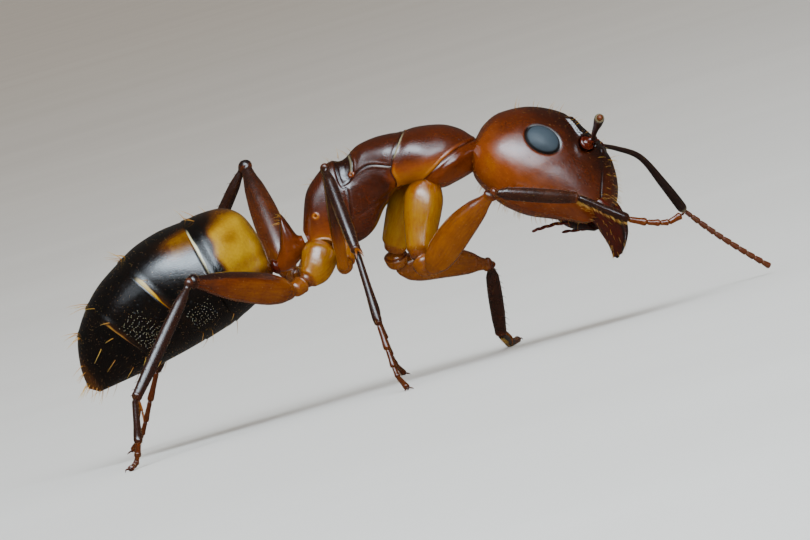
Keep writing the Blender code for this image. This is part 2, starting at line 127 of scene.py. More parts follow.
GASTER_MARGINS = [0, 5, 8, 10, 11, 13]     # the stations at which its five segments meet

# Sutures between the plates of the mesosoma, in side view. The upright ones give the place
# along the body for each height; the lying ones give the height for each place along.
PRONOTUM_REAR = [(3.60, 2.02), (3.92, 2.13), (4.15, 2.09), (4.33, 2.15), (4.48, 2.24), (4.75, 2.43),
                 (4.90, 2.56)]
METANOTUM_FRONT = [(4.00, 1.22), (4.18, 1.26), (4.41, 1.35), (4.60, 1.39), (4.85, 1.36)]
METANOTUM_REAR = [(4.00, 1.10), (4.22, 1.04), (4.45, 1.03), (4.80, 1.06)]
PROPODEUM_FRONT = [(2.90, 0.98), (3.50, 1.06), (4.02, 1.14), (4.30, 1.12)]
PRONOTUM_EDGE = [(1.90, 3.78), (2.17, 3.82), (2.39, 3.78), (2.63, 3.82), (2.85, 3.93), (3.12, 4.09),
                 (3.50, 4.25), (3.90, 4.32)]
MESONOTUM_EDGE = [(0.90, 4.12), (1.20, 4.20), (1.41, 4.34), (1.70, 4.41), (2.08, 4.28), (2.40, 4.16)]

# Legs: hip, end of the coxa, knee, end of the tibia, then the tarsus to its foot.
FOOT_HEIGHT = 0.055
LEGS = {
    "front_r": [(2.66, -0.36, 3.70), (2.16, -0.76, 2.27), (3.91, -2.00, 3.24),
                (5.54, -1.48, 2.65), (6.48, -1.24, 1.88), (7.11, -1.12, 1.67),
                (7.42, -1.08, 1.75)],
    "front_l": [(2.46, 0.36, 3.78), (1.68, 0.76, 2.54), (3.50, 2.10, 1.77),
                (3.32, 3.20, 0.30), (3.48, 4.35, FOOT_HEIGHT), (3.62, 5.40, FOOT_HEIGHT)],
    "middle_r": [(0.80, -0.40, 3.08), (0.69, -0.78, 2.60), (0.84, -2.24, 4.66),
                 (0.99, -3.48, 2.87), (1.02, -3.94, 1.36), (1.08, -4.24, 0.34),
                 (1.22, -4.62, FOOT_HEIGHT)],
    "middle_l": [(0.80, 0.40, 3.08), (0.69, 0.78, 2.60), (0.86, 2.24, 4.48),
                 (0.98, 3.48, 2.75), (1.02, 3.94, 1.32), (1.08, 4.24, 0.34),
                 (1.22, 4.62, FOOT_HEIGHT)],
    "hind_r": [(0.30, -0.36, 3.00), (-0.20, -0.74, 2.50), (-2.34, -2.88, 3.22),
               (-4.03, -3.98, 1.28), (-4.20, -4.66, 0.40), (-4.33, -5.02, 0.10),
               (-4.46, -5.50, FOOT_HEIGHT)],
    "hind_l": [(0.30, 0.36, 3.00), (-0.22, 0.78, 2.62), (-0.71, 2.80, 5.06),
               (-2.52, 3.60, 2.88), (-3.62, 4.28, 1.42), (-4.20, 4.68, 0.34),
               (-4.50, 5.04, FOOT_HEIGHT)],
}
TROCHANTER_LENGTH = 0.38
# Each pair of legs. True radii, thinner than the CAD's: coxa (hip, belly, end), femur (base,
# belly, knee), tibia (knee, middle, end). Bow is how far the coxa's middle is pushed out, and
# arch how far the femur's. Tarsus is its girth. Spurs: how many, how long, and how far they stand
# out. Dark is how much amber the femur loses toward its knee, and from which share of its length.
LEG_KINDS = {
    "front": {"coxa": (0.28, 0.4, 0.24), "femur": (0.15, 0.335, 0.115), "tibia": (0.085, 0.145, 0.11),
              "bow": (-0.03, 0, 0), "arch": 0.07, "tarsus": 1.18, "spurs": (1, 0.42, 0.35),
              "femur_amber": 0.68, "dark": (0.1, 0.55), "tibia_amber": 0.14},
    "middle": {"coxa": (0.18, 0.23, 0.16), "femur": (0.11, 0.145, 0.085), "tibia": (0.085, 0.145, 0.1),
               "bow": (0.03, 0, 0.03), "arch": 0, "tarsus": 1, "spurs": (2, 0.34, 0.35),
               "femur_amber": 0.72, "dark": (0.46, 0.15), "tibia_amber": 0.04},
    "hind": {"coxa": (0.23, 0.37, 0.18), "femur": (0.15, 0.315, 0.115), "tibia": (0.085, 0.135, 0.1),
             "bow": (0.06, 0, -0.04), "arch": 0, "tarsus": 1, "spurs": (2, 0.46, 0.85),
             "femur_amber": 0.58, "dark": (0.18, 0.55), "tibia_amber": 0.04},
}
# How amber each coxa is, and how dark the top of each femur.
COXA_AMBER = {"front_r": 0.86, "front_l": 0.92, "middle_r": 0.78, "middle_l": 0.78,
              "hind_r": 0.86, "hind_l": 0.86}
FEMUR_SHADE = {"front_r": 0.08, "front_l": 0.08, "middle_r": 0.14, "middle_l": 0.14,
               "hind_r": 0.34, "hind_l": 0.2}
# The five joints of a tarsus: radii, and the shares of the foot's path between which they lie.
TARSUS_RADII = (0.080, 0.062, 0.055, 0.052, 0.058)
TARSUS_SHARES = (0.0, 0.50, 0.67, 0.79, 0.87, 1.0)

SCAPES = {
    "r": [(6.14, -0.68, 3.68), (6.21, -1.50, 3.84), (6.29, -2.50, 3.98), (6.35, -3.44, 4.11)],
    "l": [(6.24, 0.14, 3.50), (6.56, 0.66, 3.34), (6.98, 1.22, 3.02), (7.29, 1.90, 2.36),
          (7.55, 2.54, 1.72)],
}
FUNICULI = {
    "r": [(6.35, -3.44, 4.11), (6.33, -5.30, 4.15), (6.31, -7.24, 4.19)],
    "l": [(7.55, 2.54, 1.72), (7.95, 2.70, 1.20), (8.42, 2.92, 0.66), (8.92, 3.20, 0.14)],
}
SCAPE_SHARES = (0, 0.05, 0.1, 0.315, 0.53, 0.745, 0.96, 1)
SCAPE_RADII = (0.040, 0.052, 0.046, 0.056, 0.070, 0.092, 0.100, 0.078)
FUNICULUS_RADIUS = 0.057
FLAGELLOMERES = 11
# Fields of pale dots, golden stubs drawn pale as a painted glint, on the flanks of the gaster's second and
# third segment, which have the indexes 1 and 2: span along, sector around, columns, rows.
DOT_FIELDS = {1: ((0.32, 0.86), (0.632, 0.700), 9, 7), 2: ((0.46, 0.88), (0.680, 0.790), 12, 9)}


# ---------------- curves and surfaces


def ease(low, high, value):
    """Smooth step from 0 at low to 1 at high. Low may lie above high."""
    share = np.clip((value - low) / (high - low), 0.0, 1.0)
    return share * share * (3 - 2 * share)


def plateau(value, start, full, still, end):
    """Rises from 0 at start to 1 at full, and falls from 1 at still to 0 at end."""
    return ease(start, full, value) * ease(end, still, value)


def hump(value, centre, width):
    """A bell, 1 at its centre."""
    return np.exp(-(((value - centre) / width) ** 2))


def unit(vectors):
    return vectors / np.maximum(np.linalg.norm(vectors, axis=-1, keepdims=True), 1e-12)


def moved(points, matrix):
    matrix = np.array(matrix)
    return points @ matrix[:3, :3].T + matrix[:3, 3]


def smoothed(rows):
    return (rows[:-2] + 2 * rows[1:-1] + rows[2:]) / 4


def smooth_rows(rows, places):
    """Catmull-Rom values at fractional places along rows of numbers."""
    rows = np.asarray(rows, float)
    rows = np.vstack([2 * rows[:1] - rows[1:2], rows, 2 * rows[-1:] - rows[-2:-1]])
    first = np.clip(np.floor(places).astype(int), 0, len(rows) - 4)
    t = (places - first)[:, None]
    p0, p1, p2, p3 = (rows[first + k] for k in range(4))
    return 0.5 * (2 * p1 + (p2 - p0) * t + (2 * p0 - 5 * p1 + 4 * p2 - p3) * t**2
                  + (3 * p1 - p0 - 3 * p2 + p3) * t**3)


def line_value(line, value):
    """The smooth height of a suture at a value, from its (value, height) pairs."""
    places = np.interp(value, [a for a, _ in line], np.arange(len(line)))
    return smooth_rows([[b] for _, b in line], np.ravel(places))[:, 0].reshape(np.shape(places))


def travelled(points):
    """How far along a polyline, or along each line of a grid, its points lie."""
    steps = np.linalg.norm(np.diff(points, axis=0), axis=-1)
    return np.concatenate([np.zeros_like(steps[:1]), np.cumsum(steps, axis=0)])


def read_at(spots, places, rows):
    """The rows' values at the spots, by straight lines between their places."""
    return np.stack([np.interp(spots, places, column) for column in np.transpose(rows)], axis=1)


CURVE_STEPS = 40                   # fine steps of a curve for each point it is drawn through
LIMB_STEPS = 400                   # fine steps of a limb's middle line


def curve_through(points, count):
    """Count points evenly spaced along a smooth curve through the given ones."""
    fine = smooth_rows(points, np.linspace(0, len(points) - 1, CURVE_STEPS * len(points)))
    reach = travelled(fine)
    return read_at(np.linspace(0, reach[-1], count), reach, fine)


def path_share(points, share):
    """The point at a share of a polyline's length."""
    reach = travelled(points)
    return read_at([share * reach[-1]], reach, points)[0]


def circle(count):
    return 2 * math.pi * np.arange(count) / count


def ring_quads(index):
    """Faces between each ring of vertex numbers and the next, with the rings closed round."""
    following = np.roll(index, -1, axis=-1)
    return np.stack([index[..., :-1, :], following[..., :-1, :], following[..., 1:, :], index[..., 1:, :]],
                    axis=-1).reshape(-1, 4)


class Skin:
    """A closed-round grid of surface points with its masks, with coordinates of its own (lay)
    that run along the part, for grain that follows it, and with each point's share of the length."""

    def __init__(self, points, lay=None, share=None):
        self.points = points
        self.lay = points.copy() if lay is None else lay
        self.share = share
        self.masks = {}
        self.kept = None

    def axes(self):
        return np.moveaxis(self.points, -1, 0)

    def normals(self):
        along = np.gradient(self.points, axis=0)
        around = np.roll(self.points, -1, axis=1) - np.roll(self.points, 1, axis=1)
        normal = unit(np.cross(around, along))
        outward = self.points - self.points.mean(axis=1, keepdims=True)
        return normal if (normal * outward).sum() > 0 else -normal

    def swell(self, height):
        self.points = self.points + self.normals() * height[..., None]

    def place(self, matrix):
        self.points = moved(self.points, matrix)
        return self

    def lift_to_floor(self):
        self.points[..., 2] = np.maximum(self.points[..., 2], 0.0)

    def paint(self, amber, pale=0.0, polish=0.0, least=0.02):
        """How amber the shell is, how polished, and how much pale it shows: pale skin, and in some places a
        painted highlight.
        """
        flat = np.zeros(self.points.shape[:2])
        self.masks.update(amber=np.clip(amber + flat, least, 1), pale=pale + flat, polish=polish + flat)
        return self

    def spot(self, v, u):
        """Point, normal and direction along the part at shares v (along) and u (around)."""
        rings, sides = self.points.shape[:2]
        if self.kept is None:
            along = unit(np.gradient(self.points, axis=0))
            self.kept = np.concatenate([self.points, self.normals(), along], axis=2)
        row = np.clip(v, 0, 1) * (rings - 1)
        column = (u % 1.0) * sides
        r0 = np.minimum(row.astype(int), rings - 2)
        c0 = column.astype(int) % sides
        c1 = (c0 + 1) % sides
        fr = (row - r0)[:, None]
        fc = (column - np.floor(column))[:, None]
        mixed = ((self.kept[r0, c0] * (1 - fr) + self.kept[r0 + 1, c0] * fr) * (1 - fc)
                 + (self.kept[r0, c1] * (1 - fr) + self.kept[r0 + 1, c1] * fr) * fc)
        return mixed[:, :3], unit(mixed[:, 3:6]), unit(mixed[:, 6:9])

    def thinned(self, step):
        """The same skin with only every step-th line of points each way."""
        skin = Skin(self.points[::step, ::step], self.lay[::step, ::step])
        skin.masks = {key: value[::step, ::step] for key, value in self.masks.items()}
        return skin

    def mesh_data(self):
        """Vertices, faces, lay and masks, with a fan of faces over each end."""
        rings, sides = self.points.shape[:2]
        index = np.arange(rings * sides).reshape(rings, sides)
        caps = []
        for i in range(sides):
            j = (i + 1) % sides
            caps.append((index[0, j], index[0, i], rings * sides))
            caps.append((index[-1, i], index[-1, j], rings * sides + 1))
        faces = [tuple(face) for face in ring_quads(index)] + caps
        p = self.points[rings // 2: rings // 2 + 2]
        if np.cross(p[0, 1] - p[0, 0], p[1, 0] - p[0, 0]) @ self.normals()[rings // 2, 0] < 0:
            faces = [face[::-1] for face in faces]
        verts, lay = (np.vstack([grid.reshape(-1, 3), grid[[0, -1]].mean(axis=1)])
                      for grid in (self.points, self.lay))
        masks = {key: np.concatenate([value.ravel(), value[[0, -1]].mean(axis=1)])
                 for key, value in self.masks.items()}
        return verts, faces, lay, masks


def body_skin(stations, rings, sides, squareness, first=0.0, last=None, turns=6, widest=(0.5, 0.5)):
    """A skin through a body part's stations, in the part's own frame, smoothed in turns.
    Squareness is that of the upper and the lower half of the section. Widest is the share of
    the section's height where they meet, at the first and at the last station."""
    rows = np.array([[*upper, *lower, width] for upper, lower, width in stations])
    last = len(rows) - 1 if last is None else last
    profile = smooth_rows(rows, np.linspace(first, last, rings))
    for _ in range(turns):
        profile[1:-1] = smoothed(profile)
    top_x, top_z, low_x, low_z, half = (profile[:, k, None] for k in range(5))
    angle = circle(sides)
    c, s = np.cos(angle), np.sin(angle)
    power = 2 / np.where(c > 0, *squareness)
    up = np.sign(c) * np.abs(c) ** power
    out = np.sign(s) * np.abs(s) ** power
    meet = widest[0] + (widest[1] - widest[0]) * ease(0.1, 0.8, np.linspace(0, 1, rings))[:, None]
    share = meet + np.where(up > 0, 1 - meet, meet) * up
    return Skin(np.stack([low_x + (top_x - low_x) * share, half * out, low_z + (top_z - low_z) * share],
                         axis=-1))


def limb_skin(path, stations, rings=40, sides=28, hint=(0, 0, 1)):
    """A skin with blunt ends round a path. A station is (share of the length, half width, half
    depth), where the depth lies in the plane of the path and the hint."""
    spots = 0.5 - 0.5 * np.cos(np.linspace(0, math.pi, rings))
    fine = curve_through(path, LIMB_STEPS)
    reach = travelled(fine)
    length = reach[-1]
    centre = read_at(spots * length, reach, fine)
    along = unit(read_at(spots * length, reach, unit(np.gradient(fine, axis=0))))
    side = unit(np.cross(along, np.asarray(hint, float)))
    up = np.cross(side, along)
    places = np.interp(spots, [station[0] for station in stations], np.arange(len(stations)))
    sizes = smooth_rows([station[1:] for station in stations], places)
    for end, near in ((0, spots), (-1, 1 - spots)):
        blunt = max(min(sizes[end]) * 0.9, 1e-4) / length
        sizes = sizes * np.sqrt(np.clip(1 - (1 - np.clip(near / blunt, 0, 1)) ** 2, 0.0004, 1))[:, None]
    wide, deep = sizes[:, :1], sizes[:, 1:]
    c, s = np.cos(circle(sides)), np.sin(circle(sides))
    points = centre[:, None] + up[:, None] * (c * deep)[..., None] + side[:, None] * (s * wide)[..., None]
    share = np.broadcast_to(spots[:, None], (rings, sides))
    return Skin(points, np.stack([share * length, c * deep, s * wide], axis=-1), share)


def sized(radius, *rows):
    """Stations from (share of the length, width, depth), where the radius is 1."""
    return [(share, radius * wide, radius * deep) for share, wide, deep in rows]


def tube(path, radii, sides=10, rings=24, flat=1.0, hint=(0, 0, 1), amber=0.0, polish=0.0):
    """A tapered skin with blunt ends and a single colour."""
    stations = [(k / (len(radii) - 1), radius, radius * flat) for k, radius in enumerate(radii)]
    return limb_skin(path, stations, rings, sides, hint).paint(amber, polish=polish)


# ---------------- pieces


def add_values(mesh, name, values, kind="FLOAT"):
    """Values at a mesh's vertices, which its material reads by name."""
    layer = mesh.attributes.new(name, kind, "POINT")
    layer.data.foreach_set("value" if kind == "FLOAT" else "vector", values.astype(np.float32).ravel())


def riding_piece(name, verts, faces, material):
    """One object of the ant, from vertices in millimetres from the waist."""
    mesh = bpy.data.meshes.new(name)
    mesh.from_pydata(((verts + WAIST_TO_ORIGIN) * MM).tolist(), [], faces)
    mesh.shade_smooth()
    mesh.materials.append(material)
    piece = bpy.data.objects.new(name, mesh)
    bpy.context.collection.objects.link(piece)
    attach(piece, "root")
    return piece


def new_piece(name, shapes, material, in_cad=True):
    """One object from skins, or from the mesh data of skins. In the CAD it has a node of the
    same name, unless in_cad is False."""
    shapes = [shape.mesh_data() if isinstance(shape, Skin) else shape for shape in shapes]
    faces = []
    count = 0
    for verts, shape_faces, _, _ in shapes:
        faces += [tuple(int(i) + count for i in face) for face in shape_faces]
        count += len(verts)
    piece = riding_piece(name, np.vstack([shape[0] for shape in shapes]), faces, material)
    add_values(piece.data, "lay", np.vstack([shape[2] for shape in shapes]), "FLOAT_VECTOR")
    for key in shapes[0][3]:
        add_values(piece.data, key, np.concatenate([shape[3][key] for shape in shapes]))
    if in_cad:
        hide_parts(name)


def kept_faces(data, keep):
    """The part of a mesh whose vertices are all in keep."""
    verts, faces, lay, masks = data
    faces = [face for face in faces if all(keep[i] for i in face)]
    used = np.unique(np.concatenate([np.array(face) for face in faces]))
    renumber = np.full(len(verts), -1)
    renumber[used] = np.arange(len(used))
    faces = [tuple(renumber[i] for i in face) for face in faces]
    return verts[used], faces, lay[used], {key: value[used] for key, value in masks.items()}


HAIR_SIDES, HAIR_RINGS = 4, 5
HAIR_SINK = 0.04                   # the share of its length that is sunk in the shell
HAIR_FLOOR = 0.003                 # no hair comes nearer the floor, in millimetres
PATCH = 0.003                      # the width of a hair's patch in the coat's unwrap


def hair_data(roots, ways, lengths, radii, bends, unwrap):
    """Tapered hairs as one mesh: each has its own small patch of the coat's unwrap."""
    count = len(roots)
    t = np.linspace(0, 1, HAIR_RINGS)
    centre = (roots[:, None]
              + ways[:, None] * (lengths[:, None] * (t * (1 + HAIR_SINK) - HAIR_SINK))[..., None]
              + bends[:, None] * (lengths[:, None] * t**2)[..., None])
    helper = np.where(np.abs(ways[:, 2:3]) < 0.9, [[0.0, 0.0, 1.0]], [[1.0, 0.0, 0.0]])
    side = unit(np.cross(ways, helper))
    up = np.cross(side, ways)
    c, s = np.cos(circle(HAIR_SIDES)), np.sin(circle(HAIR_SIDES))
    thick = radii[:, None] * np.maximum(1 - t, 0.06) ** 0.7
    around = side[:, None, None] * c[:, None] + up[:, None, None] * s[:, None]
    verts = centre[:, :, None] + around * thick[:, :, None, None]
    verts[..., 2] = np.maximum(verts[..., 2], HAIR_FLOOR)
    index = np.arange(count * HAIR_RINGS * HAIR_SIDES).reshape(count, HAIR_RINGS, HAIR_SIDES)
    ends = np.concatenate([index[:, 0, ::-1], index[:, -1]])
    places = np.broadcast_to(unwrap[:, None, None], (*index.shape, 2)).copy()
    places[..., 0] += PATCH * c / 2 * (0.3 + 0.7 * t[:, None])
    places[..., 1] += PATCH * (t[:, None] - 0.5)
    shade = np.repeat(CHANCE.random(count), HAIR_RINGS * HAIR_SIDES)
    tip = np.tile(np.repeat(t, HAIR_SIDES), count)
    return verts.reshape(-1, 3), ring_quads(index), ends, places.reshape(-1, 2), shade, tip


def coat_piece(name, groups, material):
    """Joins groups of hairs into one piece with its OFBake unwrap."""
    made = [hair_data(*group) for group in groups]
    faces = []
    count = 0
    for verts, quads, ends, *_ in made:
        faces += (quads + count).tolist() + (ends + count).tolist()
        count += len(verts)
    verts, _, _, places, shade, tip = zip(*made)
    mesh = riding_piece(name, np.vstack(verts), faces, material).data
    add_values(mesh, "shade", np.concatenate(shade))
    add_values(mesh, "tip", np.concatenate(tip))
    corners = np.empty(len(mesh.loops), np.int32)
    mesh.loops.foreach_get("vertex_index", corners)
    uv = mesh.uv_layers.new(name="OFBake")
    uv.data.foreach_set("uv", np.vstack(places)[corners].astype(np.float32).ravel())


# ---------------- materials


class Shader:
    """A short way to write a material's nodes."""

    def __init__(self, name):
        self.material = bpy.data.materials.new(name)
        self.material.use_nodes = True
        self.tree = self.material.node_tree
        self.surface = self.tree.nodes["Principled BSDF"]

    def node(self, kind, settings=None, **sockets):
        made = self.tree.nodes.new("ShaderNode" + kind)
        for key, value in (settings or {}).items():
            setattr(made, key, value)
        for key, value in sockets.items():
            self.put(made.inputs[int(key[1:]) if key[1:].isdigit() else key.replace("_", " ")], value)
        return made

    def put(self, socket, value):
        if isinstance(value, bpy.types.NodeSocket):
            self.tree.links.new(value, socket)
        else:
            socket.default_value = value

    def finished(self, **sockets):
        """The material, once its surface's sockets have their values or links."""
        for key, value in sockets.items():
            self.put(self.surface.inputs[key.replace("_", " ")], value)
        return self.material

    def mask(self, name):
        return self.node("Attribute", {"attribute_name": name}).outputs["Fac"]

    def lay(self, stretch=(1, 1, 1)):
        place = self.node("Attribute", {"attribute_name": "lay"}).outputs["Vector"]
        return self.node("Mapping", Vector=place, Scale=stretch).outputs["Vector"]

    def noise(self, scale, detail=2.0, stretch=(1, 1, 1)):
        return self.node("TexNoise", Vector=self.lay(stretch), Scale=scale, Detail=detail,
                         Roughness=0.55).outputs["Fac"]

    def cells(self, feature, scale, randomness, stretch=(1, 1, 1)):
        return self.node("TexVoronoi", {"feature": feature}, Vector=self.lay(stretch), Scale=scale,
                         Randomness=randomness).outputs["Distance"]

    def math(self, operation, a, b=0.0, c=0.0, clamp=False):
        made = self.node("Math", {"operation": operation, "use_clamp": clamp}, _0=a, _1=b, _2=c)
        return made.outputs[0]

    def swing(self, noise):
        """A noise moved down by half, so that it darkens as much as it lightens."""
        return self.math("SUBTRACT", noise, 0.5)

    def span(self, value, low, high, to_low=0.0, to_high=1.0):
        made = self.node("MapRange", {"interpolation_type": "SMOOTHSTEP"}, Value=value, From_Min=low,
                         From_Max=high, To_Min=to_low, To_Max=to_high)
        return made.outputs["Result"]

    def mix(self, share, a, b):
        return self.node("Mix", {"data_type": "RGBA"}, Factor=share, _6=a, _7=b).outputs[2]

    def ramp(self, value, colours, first=0.0, last=1.0):
        """A ramp whose colours lie evenly from first to last."""
        made = self.node("ValToRGB", Fac=value)
        marks = made.color_ramp.elements
        while len(marks) < len(colours):
            marks.new(0.5)
        for mark, place, colour in zip(marks, np.linspace(first, last, len(colours)), colours):
            mark.position = place
            mark.color = (*colour, 1)
        return made.outputs["Color"]

    def bump(self, height, depth, strength, under=None):
        made = self.node("Bump", Strength=strength, Distance=depth * MM, Height=height)
        if under is not None:
            self.put(made.inputs["Normal"], under)
        return made.outputs["Normal"]


# Shell colours from the deepest to the most translucent.
CHESTNUT = ((0.0036, 0.0009, 0.0005), (0.022, 0.0036, 0.0008), (0.088, 0.013, 0.0008),
            (0.23, 0.042, 0.0004), (0.36, 0.11, 0.0004))
HONEY = ((0.011, 0.0042, 0.0036), (0.032, 0.008, 0.003), (0.12, 0.021, 0.0006),
         (0.25, 0.068, 0.0004), (0.36, 0.165, 0.0006))
GARNET = ((0.0036, 0.0008, 0.0004), (0.022, 0.002, 0.0004), (0.085, 0.007, 0.0005),
          (0.22, 0.028, 0.0004), (0.34, 0.09, 0.0005))
SOOT = ((0.0012, 0.0009, 0.0008), (0.011, 0.0036, 0.001), (0.09, 0.025, 0.0006),
        (0.29, 0.125, 0.0006), (0.52, 0.29, 0.004))
# The pale colour: pale skin, and in some places a painted highlight on rims and caps.
PALE_SKIN_AND_HIGHLIGHT = (0.72, 0.64, 0.36, 1)
PIT_COLOUR = (0.02, 0.006, 0.003, 1)


def shell(name, colours, gloss=0.3, blotch=0.1, streak=0.05, streaks=(0.7, 9, 9), cells=24.0,
          cell_depth=0.0012, coat=0.5, glow=0.25):
    """Chitin: a depth of colour that runs from black to amber, fine cells and small dents."""
    s = Shader(name)
    patches = s.noise(2.6, 3.0)
    fibres = s.noise(3.0, 4.0, streaks)
    tone = s.math("MULTIPLY_ADD", s.swing(patches), blotch * 2, s.mask("amber"))
    tone = s.math("MULTIPLY_ADD", s.swing(fibres), streak * 2, tone)
    tone = s.math("MULTIPLY_ADD", s.swing(s.noise(21.0)), 0.16, tone, True)
    colour = s.ramp(tone, colours)
    pit = s.span(s.cells("F1", 7.0, 0.9), 0.1, 0.02)
    colour = s.mix(s.math("MULTIPLY", pit, 0.45), colour, PIT_COLOUR)
    # Pale: pale skin at joints and margins, and in some places a painted highlight carried by the same mask.
    colour = s.mix(s.mask("pale"), colour, PALE_SKIN_AND_HIGHLIGHT)
    rough = s.span(s.noise(5.0, 4.0), 0.25, 0.75, gloss - 0.04, gloss + 0.06)
    rough = s.math("MULTIPLY", rough, s.math("MULTIPLY_ADD", s.mask("polish"), -0.6, 1.0))
    edge = s.span(s.cells("DISTANCE_TO_EDGE", cells, 0.85, (0.6, 1, 1)), 0.0, 0.14)
    fine = s.bump(edge, cell_depth, 0.6)
    waves = s.bump(s.noise(4.0, 3.0), 0.01, 0.35, fine)
    dents = s.bump(s.math("SUBTRACT", 1.0, pit), 0.006, 0.8, waves)
    return s.finished(Base_Color=colour, Roughness=rough, Normal=dents, Coat_Weight=coat,
                      Coat_Roughness=0.17, Subsurface_Weight=glow, Subsurface_Radius=(1.0, 0.35, 0.08),
                      Subsurface_Scale=0.2 * MM, IOR=1.62)


def eye_material():
    """Thousands of lenses, satin and blue-grey, with painted shade round their edge where they sink into the
    socket.
    """
    s = Shader("compound_eye")
    edge = s.span(s.cells("DISTANCE_TO_EDGE", 34.0, 0.25), 0.0, 0.16)
    tint = s.ramp(s.noise(2.0, 2.0), ((0.03, 0.044, 0.056), (0.05, 0.07, 0.086)), 0.3, 0.7)
    colour = s.mix(s.math("SUBTRACT", 1.0, edge), tint, (0.03, 0.04, 0.05, 1))
    # Painted shade: the lens darkens toward its edge, where it sinks into the head's socket.
    colour = s.mix(s.mask("rim"), colour, (0.008, 0.005, 0.004, 1))
    rough = s.span(s.noise(6.0), 0.3, 0.7, 0.4, 0.48)
    return s.finished(Base_Color=colour, Roughness=rough, Normal=s.bump(edge, 0.003, 0.7), IOR=1.5)


def hair_material(name, *colours):
    """Hair whose colours run from its root to its tip, and from one hair to the next."""
    s = Shader(name)
    tone = s.math("MULTIPLY_ADD", s.mask("shade"), 0.5, s.math("MULTIPLY", s.mask("tip"), 0.5))
    return s.finished(Base_Color=s.ramp(tone, colours), Roughness=0.32, Subsurface_Weight=0.3,
                      Subsurface_Radius=(1.0, 0.5, 0.15), Subsurface_Scale=0.05 * MM)


def bristle_material():
    s = Shader("dark_bristle")
    return s.finished(Base_Color=s.ramp(s.mask("tip"), ((0.02, 0.008, 0.005), (0.16, 0.06, 0.015))),
                      Roughness=0.35)


HEAD_SHELL = shell("head_shell", CHESTNUT, gloss=0.19, streak=0.1, glow=0.08, cell_depth=0.001)
BODY_SHELL = shell("thorax_shell", CHESTNUT, gloss=0.22, streak=0.08, glow=0.08)
GASTER_SHELL = shell("gaster_shell", SOOT, gloss=0.22, blotch=0.12, glow=0.06, cells=20.0,
                     streaks=(9, 1.5, 1.5))
LEG_SHELL = shell("leg_shell", HONEY, gloss=0.24, blotch=0.13, glow=0.1, streak=0.17, streaks=(0.6, 9, 9))
SHIN_SHELL = shell("shin_shell", HONEY, gloss=0.25, coat=0.55, glow=0.05, streak=0.06, streaks=(0.5, 14, 14))
JAW_SHELL = shell("jaw_shell", GARNET, gloss=0.2, blotch=0.05, glow=0.1, cells=14.0,
                  streaks=(0.8, 6, 6), cell_depth=0.003)
FEELER_SHELL = shell("feeler_shell", HONEY, gloss=0.36, blotch=0.06, coat=0.1, glow=0.08, cells=40.0,
                     cell_depth=0.002)
SKIN_FOLD = shell("joint_skin", CHESTNUT, gloss=0.34, coat=0.3, glow=0.2)
EYE_FACE = eye_material()
HAIR = hair_material("golden_hair", (0.34, 0.12, 0.012), (0.62, 0.28, 0.03), (0.85, 0.52, 0.12))
# Golden down drawn pale: its colour paints the glint of the gaster's short hairs.
PALE_GLINT_DOWN = hair_material("pale_glint_down", (0.4, 0.33, 0.2), (0.52, 0.45, 0.3), (0.66, 0.6, 0.44))
DOWN = hair_material("brown_down", (0.16, 0.06, 0.01), (0.3, 0.12, 0.02), (0.5, 0.26, 0.07))
BRISTLE = bristle_material()


# ---------------- head


HEAD_GRID = 300                    # points each way on the head
ROUGH_GRID = 90                    # and on the smooth one that rays are cast at


def head_base(grid):
    return body_skin(HEAD_STATIONS, grid, grid, HEAD_SQUARENESS, widest=HEAD_WIDEST)


def eye_reach(x, z):
    """1 on the eye's outline, less inside it, by place on the side of the head."""
    dx, dz = x - EYE_AT[0], z - EYE_AT[1]
    long = dx * math.cos(EYE_TILT) + dz * math.sin(EYE_TILT)
    short = dz * math.cos(EYE_TILT) - dx * math.sin(EYE_TILT)
    return np.hypot(long / (EYE_LENGTH / 2), short / (EYE_HEIGHT / 2))


TORULUS_AT = (1.78, 0.4)           # along the head and out to each side, on the face
CLYPEUS_REAR = 2.02


def clypeus_depth(x, y):
    """Distance inside the border of the clypeus, less than 0 outside it."""
    half = 0.24 + 0.42 * ease(2.0, 2.75, x)
    return np.minimum(x - CLYPEUS_REAR - 0.05 * hump(y, 0, 0.1), (half - np.abs(y)) * 0.92)


def ridge_line(x):
    """How far out the frontal ridge runs at each place along the head."""
    return 0.22 + 0.13 * ease(1.15, 1.6, x) - 0.09 * ease(1.7, 1.95, x)


def sculpt_head(skin):
    x, y, z = skin.axes()
    out = np.abs(y)
    side = ease(0.55, 0.8, out)
    face = ease(0.45, 0.85, z) * ease(0.9, 0.7, out)
    reach = eye_reach(x, z)
    height = side * (-0.008 * hump(reach, 1.05, 0.05) - 0.045 * ease(1.06, 0.92, reach))
    carina = ridge_line(x)
    window = plateau(x, 1.05, 1.25, 1.9, 2.02)
    height += face * window * (0.066 * hump(out, carina, 0.024) - 0.024 * hump(out, carina + 0.12, 0.06))
    height -= face * window * 0.03 * ease(carina - 0.02, carina - 0.12, out)
    height += face * 0.055 * hump(np.hypot(x - 2.1, out - 0.2), 0, 0.085)
    height -= face * 0.02 * hump(out, 0, 0.02) * plateau(x, 0.9, 1.1, 1.8, 1.95)
    pit = np.hypot(x - TORULUS_AT[0], out - TORULUS_AT[1])
    height += face * (0.02 * hump(pit, 0.2, 0.05) - 0.08 * ease(0.19, 0.08, pit))
    inside = clypeus_depth(x, y)
    height += face * (0.03 * ease(0.0, 0.3, inside) - 0.016 * hump(inside, 0, 0.018))
    height += face * 0.012 * hump(out, 0, 0.07) * ease(0.05, 0.2, inside)
    cheek = ease(2.35, 2.75, x) * ease(0.75, 0.45, z)
    height -= 0.03 * cheek * hump(z, 0.52, 0.1)
    height -= 0.02 * ease(-0.1, -0.3, z) * hump(y, 0, 0.025) * ease(0.3, 0.6, x)
    height += 0.015 * hump(x, 0.02, 0.03) * ease(0.5, 0.2, z)
    skin.swell(height)


